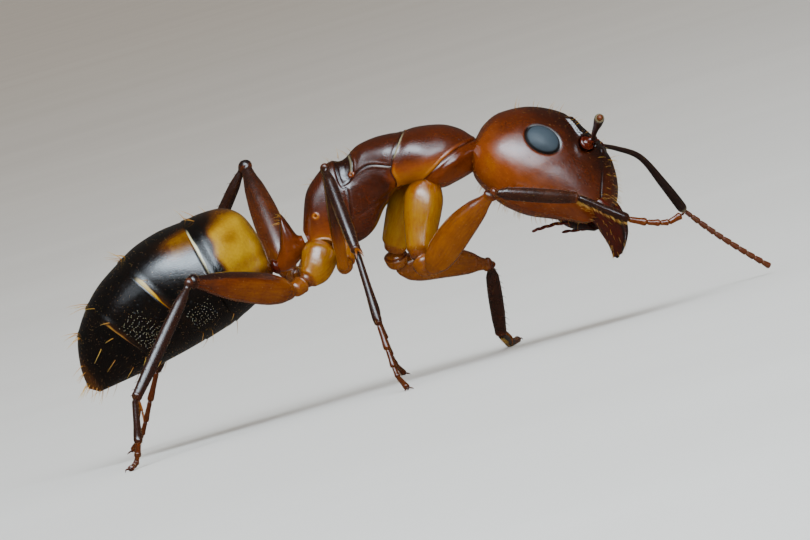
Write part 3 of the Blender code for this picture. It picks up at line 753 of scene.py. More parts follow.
def paint_head(skin):
    x, y, z = np.moveaxis(skin.lay, -1, 0)
    out = np.abs(y)
    amber = 0.69 - 0.22 * ease(0.2, 1.25, z) - 0.1 * ease(1.2, 2.4, x) - 0.1 * ease(0.05, -0.1, x)
    amber -= 0.22 * ease(1.1, 1.65, z) + 0.06 * ease(0.3, -0.3, z) * ease(0.8, 1.4, x)
    amber += 0.1 * hump(x, 0.5, 0.35) * hump(z, 0.15, 0.3)
    face = ease(0.95, 1.25, z) * ease(0.85, 0.6, out)
    inner = ease(0.01, -0.05, out - ridge_line(x)) * plateau(x, 1.02, 1.25, 1.9, 2.05) * ease(1.2, 1.4, z)
    amber *= 1 - 0.12 * face * ease(0.9, 1.5, x)
    amber *= 1 - 0.9 * inner
    inside = clypeus_depth(x, y)
    amber *= 1 - 0.5 * hump(inside, 0, 0.03) * ease(0.5, 0.7, z) * ease(0.9, 0.7, out)
    reach = eye_reach(x, z)
    # Painted shade: the shell darkens just round the eye's socket groove.
    amber *= 1 - 0.9 * ease(1.08, 1.01, reach) * ease(0.5, 0.7, out)
    amber *= 1 - 0.7 * ease(2.74, 2.88, x) * ease(0.8, 0.5, z)
    crest = hump(out, ridge_line(x) + 0.02, 0.09) * plateau(x, 1.0, 1.2, 1.9, 2.1)
    polish = np.clip(inner + crest * face + 0.5 * ease(0.0, 0.1, inside) * face, 0, 1)
    skin.paint(amber, polish=polish - 1.2 * ease(1.06, 1.02, reach) * ease(0.5, 0.7, out))


def make_head():
    skin = head_base(HEAD_GRID)
    sculpt_head(skin)
    paint_head(skin)
    new_piece("head", [skin.place(HEAD_FRAME)], HEAD_SHELL)
    return skin


def tree_of(skin):
    verts, faces, _, _ = skin.mesh_data()
    return BVHTree.FromPolygons(verts.tolist(), [tuple(int(i) for i in face) for face in faces])


HEAD_TREE = tree_of(head_base(ROUGH_GRID))
BEYOND_HEAD = 4.0                  # rays start this far out, and look back at the smooth head


def head_spot(x, y):
    """A point and the normal of the smooth head, in its own frame, seen from above the face."""
    spot, normal, _, _ = HEAD_TREE.ray_cast(Vector((x, y, BEYOND_HEAD)), Vector((0, 0, -1)))
    return np.array(spot), np.array(normal)


EYE_REACH = 1.03                   # the lens runs on a little under the socket's rim
EYE_RINGS, EYE_SIDES = 34, 96


def make_eye(side):
    """A domed lens in the head's socket, darkened round its edge by painted shade."""
    shares = EYE_REACH * (1 - np.arange(EYE_RINGS + 1)[:, None] / EYE_RINGS) + 0.002
    angle = circle(EYE_SIDES)
    long = EYE_LENGTH / 2 * shares * np.cos(angle)
    short = EYE_HEIGHT / 2 * shares * np.sin(angle)
    x = EYE_AT[0] + long * math.cos(EYE_TILT) - short * math.sin(EYE_TILT)
    z = EYE_AT[1] + long * math.sin(EYE_TILT) + short * math.cos(EYE_TILT)
    dome = -0.055 + (EYE_BULGE + 0.025) * np.maximum(0, 1 - (shares / EYE_REACH) ** 2) ** 0.6
    points = np.empty((*x.shape, 3))
    for k in np.ndindex(x.shape):
        start = Vector((x[k], side * BEYOND_HEAD, z[k]))
        spot, normal, _, _ = HEAD_TREE.ray_cast(start, Vector((0, -side, 0)))
        points[k] = spot + normal * dome[k[0], 0]
    skin = Skin(points, np.stack([x, z, np.full(x.shape, 0.4 * side)], axis=-1))
    # The rim mask paints shade on the lens's edge, down in the socket.
    skin.masks["rim"] = ease(0.82, 0.91, shares) + 0 * angle
    new_piece("eye_" + SIDE_LETTERS[side], [skin.place(HEAD_FRAME)], EYE_FACE)


# Mandible stations: upper (along, up), lower (along, up), distance out, half thickness.
MANDIBLE = [
    ((2.66, 0.84), (2.54, 0.38), 0.56, 0.17),
    ((2.88, 0.81), (2.72, 0.33), 0.53, 0.21),
    ((3.09, 0.74), (2.90, 0.27), 0.43, 0.25),
    ((3.29, 0.63), (3.08, 0.19), 0.32, 0.24),
    ((3.45, 0.47), (3.27, 0.10), 0.23, 0.18),
    ((3.55, 0.27), (3.41, 0.01), 0.155, 0.115),
    ((3.60, 0.07), (3.51, -0.08), 0.10, 0.045),
]
TEETH = 6


def mandible_rows(places):
    return smooth_rows([[*upper, *lower, away, thick] for upper, lower, away, thick in MANDIBLE], places)


def make_tooth(side, k):
    share = (len(MANDIBLE) - 1) * (0.52 + 0.46 * k / (TEETH - 1))
    row = mandible_rows(np.array([share]))[0]
    root = np.array([row[2] + 0.05, side * (row[4] - row[5] * 0.7), row[3] + 0.07])
    tip = root + np.array([0.3, -side, -0.3]) * (0.12 if k == TEETH - 1 else 0.085)
    middle = (root + tip) / 2 + np.array([-0.008, 0, 0])
    return tube([root, middle, tip], (0.055, 0.038, 0.006), 12, 14, amber=0.03)


def make_mandible(side):
    rings, sides = 90, 48
    rows = mandible_rows(np.linspace(0, len(MANDIBLE) - 1, rings))
    top_x, top_z, low_x, low_z, away, thick = (rows[:, k, None] for k in range(6))
    angle = circle(sides)[None]
    c, s = np.cos(angle), np.sin(angle)
    blade = 1 - 0.45 * np.clip(-c, 0, 1) ** 2 - 0.3 * np.clip(-s, 0, 1) * np.clip(c, 0, 1)
    skin = Skin(np.stack([(top_x + low_x) / 2 + (top_x - low_x) / 2 * c,
                          side * (away + thick * s * blade + 0.06 * (1 + c) * ease(0.12, 0.34, away)),
                          (top_z + low_z) / 2 + (top_z - low_z) / 2 * c], axis=-1))
    place = np.linspace(0, 1, rings)[:, None]
    grooves = sum(hump(angle, at, width) + hump(angle, 2 * math.pi - at, width)
                  for at, width in ((1.25, 0.1), (0.75, 0.08)))
    skin.swell(-0.02 * grooves * plateau(place, 0.15, 0.3, 0.8, 0.95))
    skin.paint(0.46 - 0.1 * ease(0.2, 0.9, place) - 0.26 * ease(0.72, 0.95, c) * ease(0.2, 0.5, place))
    shapes = [skin] + [make_tooth(side, k) for k in range(TEETH)]
    new_piece("mandible_" + SIDE_LETTERS[side], [shape.place(HEAD_FRAME) for shape in shapes], JAW_SHELL)
    return skin


# Mouthparts: path, radii, how flat and how amber. The palps: joints and radius.
LABRUM = ([(2.58, 0, 0.66), (2.78, 0, 0.54), (2.90, 0, 0.40)], (0.3, 0.28, 0.12), 0.35, 0.25)
LABIUM = ([(2.10, 0, 0.00), (2.40, 0, 0.01), (2.66, 0, 0.10), (2.90, 0, 0.17)],
          (0.2, 0.22, 0.17, 0.06), 0.55, 0.2)
MAXILLA = ([(2.14, 0.27, 0.10), (2.42, 0.32, 0.09), (2.70, 0.25, 0.17), (2.92, 0.14, 0.20)],
           (0.12, 0.15, 0.13, 0.04), 0.8, 0.16)
PALPS = (
    ([(2.56, 0.36, 0.20), (2.49, 0.40, 0.10), (2.36, 0.40, -0.02), (2.20, 0.38, -0.17),
      (2.07, 0.36, -0.33), (1.96, 0.33, -0.47), (1.89, 0.31, -0.57)], 0.031),
    ([(2.88, 0.12, 0.22), (2.80, 0.15, 0.14), (2.66, 0.16, 0.00), (2.50, 0.17, -0.14),
      (2.38, 0.17, -0.25)], 0.027),
)


def mouth_tube(path, radii, flat, amber, sides=16, rings=24):
    return tube(path, radii, sides, rings, flat, (0.3, 0.1, 1), amber).place(HEAD_FRAME)


def make_mouth():
    """Labrum, maxillae, labium and the two pairs of jointed palps, which hang back."""
    shapes = [mouth_tube(*LABRUM), mouth_tube(*LABIUM)]
    for side in SIDE_LETTERS:
        path, *rest = MAXILLA
        shapes.append(mouth_tube(np.array(path) * (1, side, 1), *rest))
        for joints, radius in PALPS:
            joints = np.array(joints) * (1, side, 1)
            for start, end in zip(joints, joints[1:]):
                path = [start, start * 0.45 + end * 0.55, end]
                radii = (radius * 0.55, radius, radius * 0.75)
                shapes.append(mouth_tube(path, radii, 1.0, 0.42, 10, 14))
    new_piece("mouthparts", shapes, JAW_SHELL)


def make_toruli():
    """The ring round each feeler's socket."""
    shapes = []
    for side in SIDE_LETTERS:
        spot, normal = head_spot(TORULUS_AT[0], TORULUS_AT[1] * side)
        tangent = unit(np.cross(normal, [0, 1, 0]))
        across = np.cross(normal, tangent)
        turn = np.linspace(0, 2 * math.pi, 41)[:, None, None]
        angle = circle(16)[None, :, None]
        outward = np.cos(turn) * tangent + np.sin(turn) * across
        points = spot + outward * (0.12 + 0.034 * np.cos(angle)) + normal * (0.042 * np.sin(angle) + 0.012)
        ring = Skin(points).paint(0.46, polish=1.0).place(HEAD_FRAME)
        verts, faces, *rest = ring.mesh_data()
        shapes.append((verts, [face for face in faces if len(face) == 4], *rest))
    new_piece("feeler_sockets", shapes, JAW_SHELL, False)


# ---------------- mesosoma


def plate_depths(x, z):
    """How far inside each plate of the mesosoma a place in side view lies, in millimetres."""
    ahead_pronotum = (x - line_value(PRONOTUM_REAR, z)) * 0.93
    above_pronotum = (z - line_value(PRONOTUM_EDGE, x)) * 0.93
    above_mesonotum = z - line_value(MESONOTUM_EDGE, x)
    ahead_metanotum = x - line_value(METANOTUM_FRONT, z)
    ahead_propodeum = x - np.where(z > 4.1, line_value(METANOTUM_REAR, z), line_value(PROPODEUM_FRONT, z))
    least = np.minimum.reduce
    return {
        "pronotum": least([ahead_pronotum, above_pronotum]),
        "propleura": least([ahead_pronotum, -above_pronotum]),
        "mesonotum": least([-ahead_pronotum, above_mesonotum, ahead_metanotum]),
        "mesopleura": least([-ahead_pronotum, -above_mesonotum, ahead_propodeum]),
        "metanotum": least([-ahead_metanotum, above_mesonotum, ahead_propodeum]),
        "propodeum": -ahead_propodeum,
    }


# Each plate: how far its edge rolls down, how far it bulges, its amber at top and bottom, the
# heights between which that changes, how polished it is, and its slot.
PLATES = {
    "pronotum": (0.026, 0.020, 0.43, 1.00, (3.86, 4.46), 0.0, "thorax_shell"),
    "propleura": (0.030, 0.020, 0.52, 0.72, (3.60, 4.10), 0.8, "amber_shell"),
    "mesonotum": (0.016, 0.018, 0.36, 0.46, (3.80, 4.60), 0.0, "thorax_shell"),
    "mesopleura": (0.014, 0.012, 0.34, 0.44, (3.10, 4.10), 0.0, "thorax_shell"),
    "metanotum": (0.014, 0.008, 0.26, 0.36, (3.80, 4.60), 0.3, "thorax_shell"),
    "propodeum": (0.014, 0.010, 0.36, 0.76, (3.10, 4.10), 0.0, "thorax_shell"),
}
SPIRACLES = ((0.40, 3.72, 0.045), (1.30, 4.34, 0.035))     # along, up, radius of the rim
COXA_RIM_AT, COXA_RIM_RADIUS = (0.34, 2.90), 0.36


def saddle(x, z):
    """The dip of the back at the metanotum."""
    return 0.085 * hump(x, 1.16, 0.17) * ease(4.05, 4.35, z)


def from_coxa_rim(x, z):
    return np.hypot(x - COXA_RIM_AT[0], z - COXA_RIM_AT[1])


def sculpt_plate(name, x, z, depth, roll, bulge):
    """How far a plate's surface stands off the smooth body at each place."""
    height = bulge * ease(0.0, 0.28, depth) - roll * ease(roll, -0.02, depth) ** 2
    height += 0.4 * roll * hump(depth, 0.045, 0.022) - saddle(x, z)
    if name == "propleura":
        height += 0.055 * hump(depth, 0.16, 0.11) * ease(3.3, 3.6, z)
    if name == "mesopleura":
        height -= 0.014 * hump(z - 3.62 - 0.35 * (x - 1.6), 0, 0.035) * ease(1.0, 1.3, x)
        height += 0.03 * hump(x - line_value(PRONOTUM_REAR, z), -0.16, 0.09) * ease(4.3, 4.0, z)
    if name == "metanotum":
        height += 0.02 * hump(depth, 0.15, 0.08)
    if name == "propodeum":
        away = from_coxa_rim(x, z)
        height += 0.026 * hump(away, COXA_RIM_RADIUS, 0.022) - 0.03 * ease(0.36, 0.2, away)
    for along, up, radius in SPIRACLES:
        away = np.hypot(x - along, z - up)
        height += 0.022 * hump(away, radius, 0.018) - 0.035 * ease(radius * 0.8, 0.0, away)
    return height


def paint_plate(skin, name, x, z, depth):
    _, _, top, bottom, heights, polish, _ = PLATES[name]
    amber = bottom + (top - bottom) * ease(*heights, z) - 0.14 * ease(0.035, 0.0, depth)
    ahead = x - line_value(PRONOTUM_REAR, z)
    pale = 0.0
    if name == "pronotum":
        amber += 0.2 * hump(depth, 0.05, 0.03) * ease(4.4, 4.2, z)
        pale = 0.55 * ease(0.07, 0.02, ahead) * plateau(z, 4.36, 4.54, 4.74, 4.88)
    if name == "mesopleura":
        amber += 0.26 * hump(ahead, -0.06, 0.09) * ease(4.3, 4.0, z)
        pale = 0.12 * hump(depth, 0.02, 0.012) * ease(4.2, 4.3, z) * ease(1.6, 1.9, x)
    if name == "metanotum":
        amber -= 0.06
        # A painted highlight: a pale line along the raised fold at the metanotum's front suture.
        pale = 0.22 * hump(x - line_value(METANOTUM_FRONT, z), -0.03, 0.02) * ease(4.3, 4.4, z)
    if name == "propodeum":
        away = from_coxa_rim(x, z)
        amber += 0.2 * hump(away, COXA_RIM_RADIUS, 0.1)
        pale = 0.3 * hump(away, COXA_RIM_RADIUS, 0.014) * ease(3.02, 3.12, z)
    for along, up, radius in SPIRACLES:
        amber += 0.55 * hump(np.hypot(x - along, z - up), radius, 0.03)
    skin.paint(amber, pale, polish, 0.05)


def make_mesosoma():
    base = body_skin(MESOSOMA_STATIONS, 440, 300, (2.2, 2.4), turns=10, widest=(0.46, 0.36))
    x, y, z = base.axes()
    normals = base.normals()
    inner = Skin(base.points - normals * (0.026 + saddle(x, z))[..., None], base.lay)
    inner.paint(0.4 + 0.2 * ease(4.6, 4.2, z),
                0.5 * hump(x - line_value(PRONOTUM_REAR, z), 0, 0.05) * ease(4.4, 4.55, z))
    new_piece("mesosoma_membrane", [inner.thinned(2)], SKIN_FOLD, False)
    for name, depth in plate_depths(x, z).items():
        roll, bulge, *_, slot = PLATES[name]
        height = sculpt_plate(name, x, z, depth, roll, bulge)
        skin = Skin(base.points + normals * height[..., None], base.lay)
        paint_plate(skin, name, x, z, depth)
        keep = np.concatenate([(depth > -0.03).ravel(), [name == "pronotum", name == "propodeum"]])
        new_piece(name, [kept_faces(skin.mesh_data(), keep)], BODY_SHELL)
    return base


def make_petiole():
    skin = body_skin(PETIOLE_STATIONS, 120, 90, (2.2, 2.2))
    skin.paint(0.66 - 0.22 * ease(3.2, 3.8, skin.points[..., 2]), polish=0.6)
    new_piece("petiole", [skin], BODY_SHELL)
    return skin


def make_helcium():
    """The polished red ball joint between the petiole and the gaster."""
    path = [(-0.55, 0, 3.00), (-0.64, 0, 2.97), (-0.76, 0, 2.95)]
    ball = tube(path, (0.115, 0.165, 0.15), 40, 40, amber=0.46, polish=1.0)
    new_piece("helcium", [ball], JAW_SHELL, False)


# ---------------- gaster


def paint_gaster(skin, number, to_rear):
    """The colours of a gaster segment, by place in the gaster's own frame."""
    x, y, z = skin.axes()
    amber = 0.04 + 0.1 * ease(0.3, -0.4, z)
    pale = 0.0
    # Pale margin: partly the pale rim of each segment, partly a painted highlight, pale only on the upper
    # flank and widest at the second segment's top.
    width = 0.034 + 0.012 * np.sin(6.0 * z + number) + 0.006 * np.sin(17.0 * z)
    if number == 2:
        width += 0.045 * ease(0.7, 1.2, z)
    margin = ease(width + 0.03, width, to_rear) * ease(-0.01, 0.012, to_rear)
    glow = hump(to_rear, 0.07, 0.07)
    if number == 1:
        ripple = 0.035 * np.sin(5.0 * z + 1.0) + 0.02 * np.sin(13.0 * z)
        patch = ease(0.92, 0.7, x + 0.04 * (z - 1.0) + ripple) * plateau(z, 0.06, 0.34, 1.22, 1.58)
        smudge = 0.24 * hump(x, 0.42, 0.16) * hump(z, 1.02, 0.14) + 0.16 * hump(z, 0.4, 0.14)
        smudge += 0.14 * ease(0.2, 0.0, x)
        amber += (0.88 - smudge) * patch + 0.46 * ease(0.9, 0.3, x) * (1 - patch) * ease(-0.3, 0.2, z)
        # The pale margin here is a painted highlight on the upper flank, over the pale rim.
        pale = margin * plateau(z, 0.4, 1.25, 1.45, 1.62)
    if number == 2:
        patch = ease(2.06, 1.46, x) * plateau(z, 1.06, 1.3, 1.54, 1.8)
        amber += 0.54 * patch + 0.22 * hump(z, 0.72, 0.22) * ease(1.75, 1.4, x)
        low = ease(1.36, 1.18, z)
        amber += 0.8 * margin * low * ease(0.2, 0.9, z) + 0.26 * glow * low * ease(-0.2, 0.5, z)
        # The pale margin here is a painted highlight on the upper flank, over the pale rim.
        pale = 0.6 * margin * low * ease(0.8, 1.2, z)
    if number == 3:
        low = plateau(z, -0.1, 0.5, 0.75, 1.0)
        amber += (0.42 * margin + 0.24 * glow) * low
        pale = 0.04 * margin * low
    if number == 5:
        amber += 0.35 * ease(4.05, 4.35, x)
    skin.paint(amber, pale, 0.45 * ease(-0.2, 0.4, z), 0.01)


def make_gaster():
    skins = []
    for number, (first, last) in enumerate(zip(GASTER_MARGINS, GASTER_MARGINS[1:]), 1):
        tuck = 0.0 if number == 1 else 0.3
        rings, sides = 60 + 34 * (last - first), 240
        skin = body_skin(GASTER_STATIONS, rings, sides, (2.05, 2.2), first - tuck, last, turns=16,
                         widest=(0.44, 0.44))
        from_front = travelled(skin.points)
        to_rear = from_front[-1:] - from_front
        height = np.zeros_like(to_rear)
        if number > 1:
            height -= 0.034 * ease(0.16, 0.02, from_front)
        if number < 5:
            height += 0.016 * ease(0.22, 0.05, to_rear) - 0.06 * ease(0.022, 0.0, to_rear) ** 2
        off_back = math.pi - np.abs(circle(sides) - math.pi)[None]
        height *= 0.45 + 0.55 * ease(155, 115, np.degrees(off_back))
        lateral = hump(off_back, math.radians(128), math.radians(1.6))
        height -= 0.012 * lateral * ease(0.05, 0.2, from_front)
        paint_gaster(skin, number, to_rear)
        skin.swell(height)
        new_piece(f"gaster_{number}", [skin.place(GASTER_FRAME)], GASTER_SHELL)
        skins.append(skin)
    return skins


# ---------------- legs


def make_coxa(name, kind, hip, coxa_end):
    top, belly, end = kind["coxa"]
    inside = hip - unit(coxa_end - hip) * 0.25
    middle = (hip + coxa_end) / 2 + np.array(kind["bow"])
    stations = [*sized(top, (0, 0.8, 0.8), (0.14, 1.2, 1.15)),
                *sized(belly, (0.27, 1, 0.97), (0.44, 0.97, 0.95), (0.66, 0.8, 0.84)),
                *sized(end, (0.85, 1.18, 1.24), (0.92, 0.98, 1), (1, 0.92, 0.92))]
    skin = limb_skin([inside, hip, middle, coxa_end], stations, rings=110, sides=72)
    share = skin.share
    skin.swell(0.014 * hump(share, 0.955, 0.02) - 0.012 * hump(share, 0.9, 0.02))
    skin.paint(COXA_AMBER[name] - 0.32 * ease(0.82, 0.96, share) - 0.16 * ease(0.28, 0.12, share),
               0.03 * hump(share, 0.962, 0.012), 0.5 * ease(0.9, 0.8, share))
    new_piece(f"leg_{name}_coxa", [skin], LEG_SHELL)
    return skin


def make_trochanter(name, kind, hip, coxa_end, small_end):
    first, last = kind["coxa"][2], kind["femur"][0]
    stations = [*sized(first, (0, 0.7, 0.7), (0.2, 0.9, 0.9), (0.34, 0.98, 0.98), (0.62, 0.9, 0.94)),
                *sized(last, (0.86, 0.98, 1), (1, 0.9, 0.9))]
    path = [coxa_end - unit(coxa_end - hip) * 0.06, (coxa_end + small_end) / 2, small_end]
    skin = limb_skin(path, stations, rings=60, sides=52)
    share = skin.share
    skin.swell(0.012 * hump(share, 0.31, 0.03) - 0.014 * hump(share, 0.24, 0.035))
    skin.paint(0.68 - 0.22 * hump(share, 0.24, 0.05) - 0.14 * ease(0.8, 0.98, share),
               0.04 * hump(share, 0.3, 0.02))
    new_piece(f"leg_{name}_trochanter", [skin], LEG_SHELL)


def make_femur(name, kind, small_end, knee, bend):
    base, belly, end = kind["femur"]
    toward = unit(knee - small_end)
    arch = unit(np.cross(toward, [0, 1, 0])) * kind["arch"]
    path = [small_end - toward * 0.08, small_end + toward * 0.1, (small_end + knee) / 2 + arch,
            knee - toward * 0.1, knee + toward * 0.02]
    stations = [*sized(base, (0, 0.7, 0.75), (0.05, 1.05, 1.2)),
                *sized(belly, (0.13, 0.76, 0.84), (0.25, 0.88, 1), (0.42, 0.88, 1), (0.6, 0.79, 0.9),
                       (0.77, 0.61, 0.68)),
                *sized(end, (0.9, 1.02, 1.15), (0.955, 1.12, 1.28), (1, 1, 1.05))]
    skin = limb_skin(path, stations, rings=150, sides=64, hint=np.cross(bend, toward))
    share = skin.share
    skin.swell(-0.012 * hump(share, 0.925, 0.012))
    upward = ease(0.05, 0.6, skin.normals()[..., 2]) * ease(0.12, 0.3, share)
    dark, start = kind["dark"]
    amber = kind["femur_amber"] - dark * ease(start, start + 0.4, share)
    amber -= FEMUR_SHADE[name] * upward + 0.3 * ease(0.93, 0.99, share)
    skin.paint(amber, polish=0.3 if name.endswith("r") else 0.0)
    new_piece(f"leg_{name}_femur", [skin], LEG_SHELL)
    return skin


def make_spurs(name, kind, ankle, along, bend):
    count, length, spread = kind["spurs"]
    inner = unit(np.cross(along, bend)) * (-1 if name in ("front_r", "hind_r") else 1)
    root = ankle - along * 0.05 + inner * kind["tibia"][2] * 0.8
    spurs = []
    for k in range(count):
        lean = (k - (count - 1) / 2) * 0.5
        tip = root + unit(along + inner * spread + bend * lean) * length
        path = [root, (root + tip) / 2 + inner * 0.05, tip]
        spurs.append(tube(path, (0.034, 0.026, 0.004), 10, 20, amber=0.68))
    return spurs


def make_tibia(name, kind, knee, ankle, bend):
    top, middle, end = kind["tibia"]
    along = unit(ankle - knee)
    path = [knee - along * 0.06, knee + along * 0.1, (knee + ankle) / 2, ankle]
    stations = [*sized(top, (0, 1, 1.1), (0.04, 1.05, 1.15), (0.09, 0.85, 0.9)),
                *sized(middle, (0.2, 0.8, 0.92), (0.45, 0.92, 1.05), (0.75, 0.9, 1)),
                *sized(end, (0.94, 1, 1.1), (1, 0.9, 1))]
    skin = limb_skin(path, stations, rings=100, sides=44, hint=np.cross(bend, along))
    share = skin.share
    skin.swell(0.01 * hump(share, 0.045, 0.018) - 0.012 * hump(share, 0.085, 0.018)
               + 0.008 * hump(share, 0.965, 0.012))
    skin.paint(kind["tibia_amber"] + 0.12 + 0.14 * ease(0.85, 1.0, share) + 0.2 * ease(0.1, 0.02, share))
    spurs = make_spurs(name, kind, ankle, along, bend)
    new_piece(f"leg_{name}_tibia", [skin, *spurs], SHIN_SHELL)
    return skin


def make_claws(end, way):
    """Two hooked claws with a small pad between them."""
    side = unit(np.cross(way, [0, 0, 1]))
    shapes = []
    for k in (-1, 1):
        root = end + side * 0.03 * k
        knuckle = root + way * 0.06 + side * 0.05 * k + np.array([0, 0, 0.008])
        tip = knuckle + way * 0.055 + side * 0.012 * k
        tip[2] = max(tip[2] - 0.045, 0.006)
        shapes.append(tube([root, knuckle, tip], (0.02, 0.015, 0.003), 8, 14, amber=0.35))
    shapes.append(tube([end, end + way * 0.05], (0.026, 0.03), 10, 10, amber=0.3))
    return shapes


def make_tarsus(name, kind, path):
    """Five joints along the foot's path, and the claws. The raised foot has the palest end."""
    long_amber, short_amber = (0.14, 0.52) if name == "front_r" else (0.16, 0.4)
    ends = [path_share(path, share) for share in TARSUS_SHARES]
    skins = []
    for k, (start, end) in enumerate(zip(ends, ends[1:])):
        stations = sized(TARSUS_RADII[k] * kind["tarsus"], (0, 0.72, 0.72), (0.12, 0.82, 0.82),
                         (0.55, 0.92, 0.92), (0.9, 1.15, 1.1), (1, 0.85, 0.8))
        skin = limb_skin([start - unit(end - start) * 0.02, (start + end) / 2, end], stations,
                         rings=40 if k else 70)
        skin.lift_to_floor()
        amber = short_amber if k else long_amber + 0.15 * ease(0.85, 1.0, skin.share)
        skins.append(skin.paint(amber, polish=0.5))
    claws = make_claws(ends[-1], unit(ends[-1] - ends[-2]))
    new_piece(f"leg_{name}_tarsus", skins + claws, SHIN_SHELL)
    return skins


def make_leg(name, joints):
    """Coxa, trochanter, femur, tibia and tarsus, each in its CAD node's place."""
    kind = LEG_KINDS[name.split("_")[0]]
    hip, coxa_end, knee, ankle = (np.array(joint) for joint in joints[:4])
    small_end = coxa_end + unit(unit(coxa_end - hip) + unit(knee - coxa_end)) * TROCHANTER_LENGTH
    bend = unit(np.cross(knee - small_end, ankle - knee))
    coxa = make_coxa(name, kind, hip, coxa_end)
    make_trochanter(name, kind, hip, coxa_end, small_end)
    femur = make_femur(name, kind, small_end, knee, bend)
    tibia = make_tibia(name, kind, knee, ankle, bend)
    return coxa, femur, tibia, *make_tarsus(name, kind, joints[3:])


# ---------------- feelers


def make_scape_root(side, scape, way):
    """The ball in the head's socket, the neck and the knuckle from which the scape grows."""
    spot, normal = head_spot(TORULUS_AT[0], TORULUS_AT[1] * side)
    ball = moved(spot, HEAD_FRAME)
    out = moved(normal, HEAD_FRAME.to_3x3().to_4x4())
    parts = (
        ([ball - out * 0.05, ball + out * 0.1], (0.085, 0.104, 0.09), 28, 0.52),
        ([ball + out * 0.04, (ball + scape) / 2 + out * 0.06, scape], (0.06, 0.066, 0.06), 20, 0.52),
        ([scape - way * 0.085, scape + way * 0.085], (0.08, 0.092, 0.08), 28, 0.3),
    )
    return [tube(path, radii, sides, 30, amber=amber, polish=0.7) for path, radii, sides, amber in parts]


def make_funiculus(path):
    curve = curve_through(path, 60)
    ends = [path_share(curve, k / FLAGELLOMERES) for k in range(FLAGELLOMERES + 1)]
    skins = []
    for k, (start, end) in enumerate(zip(ends, ends[1:])):
        narrow, girth, ring = (0.74, 1.0, 0.35) if k else (0.6, 0.8, -0.2)
        tip = 0.85 if k < FLAGELLOMERES - 1 else 0.45
        stations = sized(FUNICULUS_RADIUS * girth, (0, narrow, narrow), (0.12, 0.86, 0.86), (0.5, 1, 1),
                         (0.88, 1.06, 1.06), (1, tip, tip))
        skin = limb_skin([start - unit(end - start) * 0.015, (start + end) / 2, end], stations)
        skin.lift_to_floor()
        skins.append(skin.paint(0.42 + 0.06 * k / FLAGELLOMERES + ring * ease(0.12, 0.0, skin.share)
                                + 0.12 * ease(0.93, 1.0, skin.share)))
    return skins


def make_feeler(side):
    letter = SIDE_LETTERS[side]
    path = np.array(SCAPES[letter])
    way = unit(path[1] - path[0])
    stations = [(share, radius, radius) for share, radius in zip(SCAPE_SHARES, SCAPE_RADII)]
    scape = limb_skin([path[0] - way * 0.04, *path], stations, rings=150, sides=40)
    # The pale mask paints a highlight on the scape's end cap.
    scape.paint(0.12 + 0.3 * ease(0.08, 0.02, scape.share), 0.22 * ease(0.955, 0.99, scape.share))
    funiculus = make_funiculus(FUNICULI[letter])
    new_piece("scape_root_" + letter, make_scape_root(side, path[0], way), JAW_SHELL, False)
    new_piece("scape_" + letter, [scape], FEELER_SHELL)
    new_piece("funiculus_" + letter, funiculus, FEELER_SHELL)
    return [scape, *funiculus]


# ---------------- hairs


def hairs_on(skin, tile, v, u, lift, length, radius, spread=0.25, bend=0.25):
    """Hairs at shares (v, u) of a skin, raised by lift from lying flat (0) to upright (1). Their
    patches fill a tile (column, row, tiles to a side) of the coat's unwrap."""
    count = len(v)
    points, normals, along = skin.spot(v, u)
    jitter = CHANCE.normal(0, spread, (count, 3))
    ways = unit(normals * lift + along * (1 - lift) + jitter * 0.5)
    ways = np.where((ways * normals).sum(1, keepdims=True) < 0.08, unit(ways + normals * 0.25), ways)
    lengths = length * CHANCE.uniform(0.7, 1.2, count)
    radii = radius * CHANCE.uniform(0.8, 1.15, count)
    column, row, grid = tile
    unwrap = np.stack([column + 0.05 + 0.9 * (u % 1.0), row + 0.05 + 0.9 * v], axis=1) / grid
    return points, ways, lengths, radii, along * bend, unwrap


def scattered(skin, tile, count, lift, length, radius, along=(0.05, 0.95), around=(0, 1), spread=0.25):
    """Hairs strewn over a span along a skin and a sector around it."""
    v = CHANCE.uniform(*along, count)
    u = CHANCE.uniform(*around, count)
    return hairs_on(skin, tile, v, u, lift, length, radius, spread)


# Scattered hairs: how many, lift, length, radius, span along the part, sector around it.
HEAD_DOWN = (900, 0.22, 0.032, 0.0019, (0.08, 0.90))
HEAD_HAIRS = (
    (30, 0.95, 0.21, 0.0050, (0.25, 0.74), (-0.08, 0.08)),
    (90, 0.90, 0.17, 0.0042, (0.22, 0.80), (0.40, 0.60)),
    (96, 0.76, 0.13, 0.0034, (0.70, 0.97), (-0.24, 0.24)),
)
JAW_HAIRS = (46, 0.34, 0.10, 0.0038, (0.25, 0.94))
BODY_DOWN = (900, 0.22, 0.030, 0.0018, (0.06, 0.94))
BODY_HAIRS = (9, 0.95, 0.20, 0.0044, (0.60, 0.86), (-0.05, 0.05))
WAIST_HAIRS = (12, 0.95, 0.18, 0.0044, (0.35, 0.65), (-0.12, 0.12))
# Each gaster segment: hairs of its down, of its row, scattered ones and long ones on the back.
GASTER_HAIRS = ((500, 6, 1, 3), (500, 7, 2, 4), (500, 8, 4, 4), (240, 9, 7, 4), (240, 12, 10, 3))
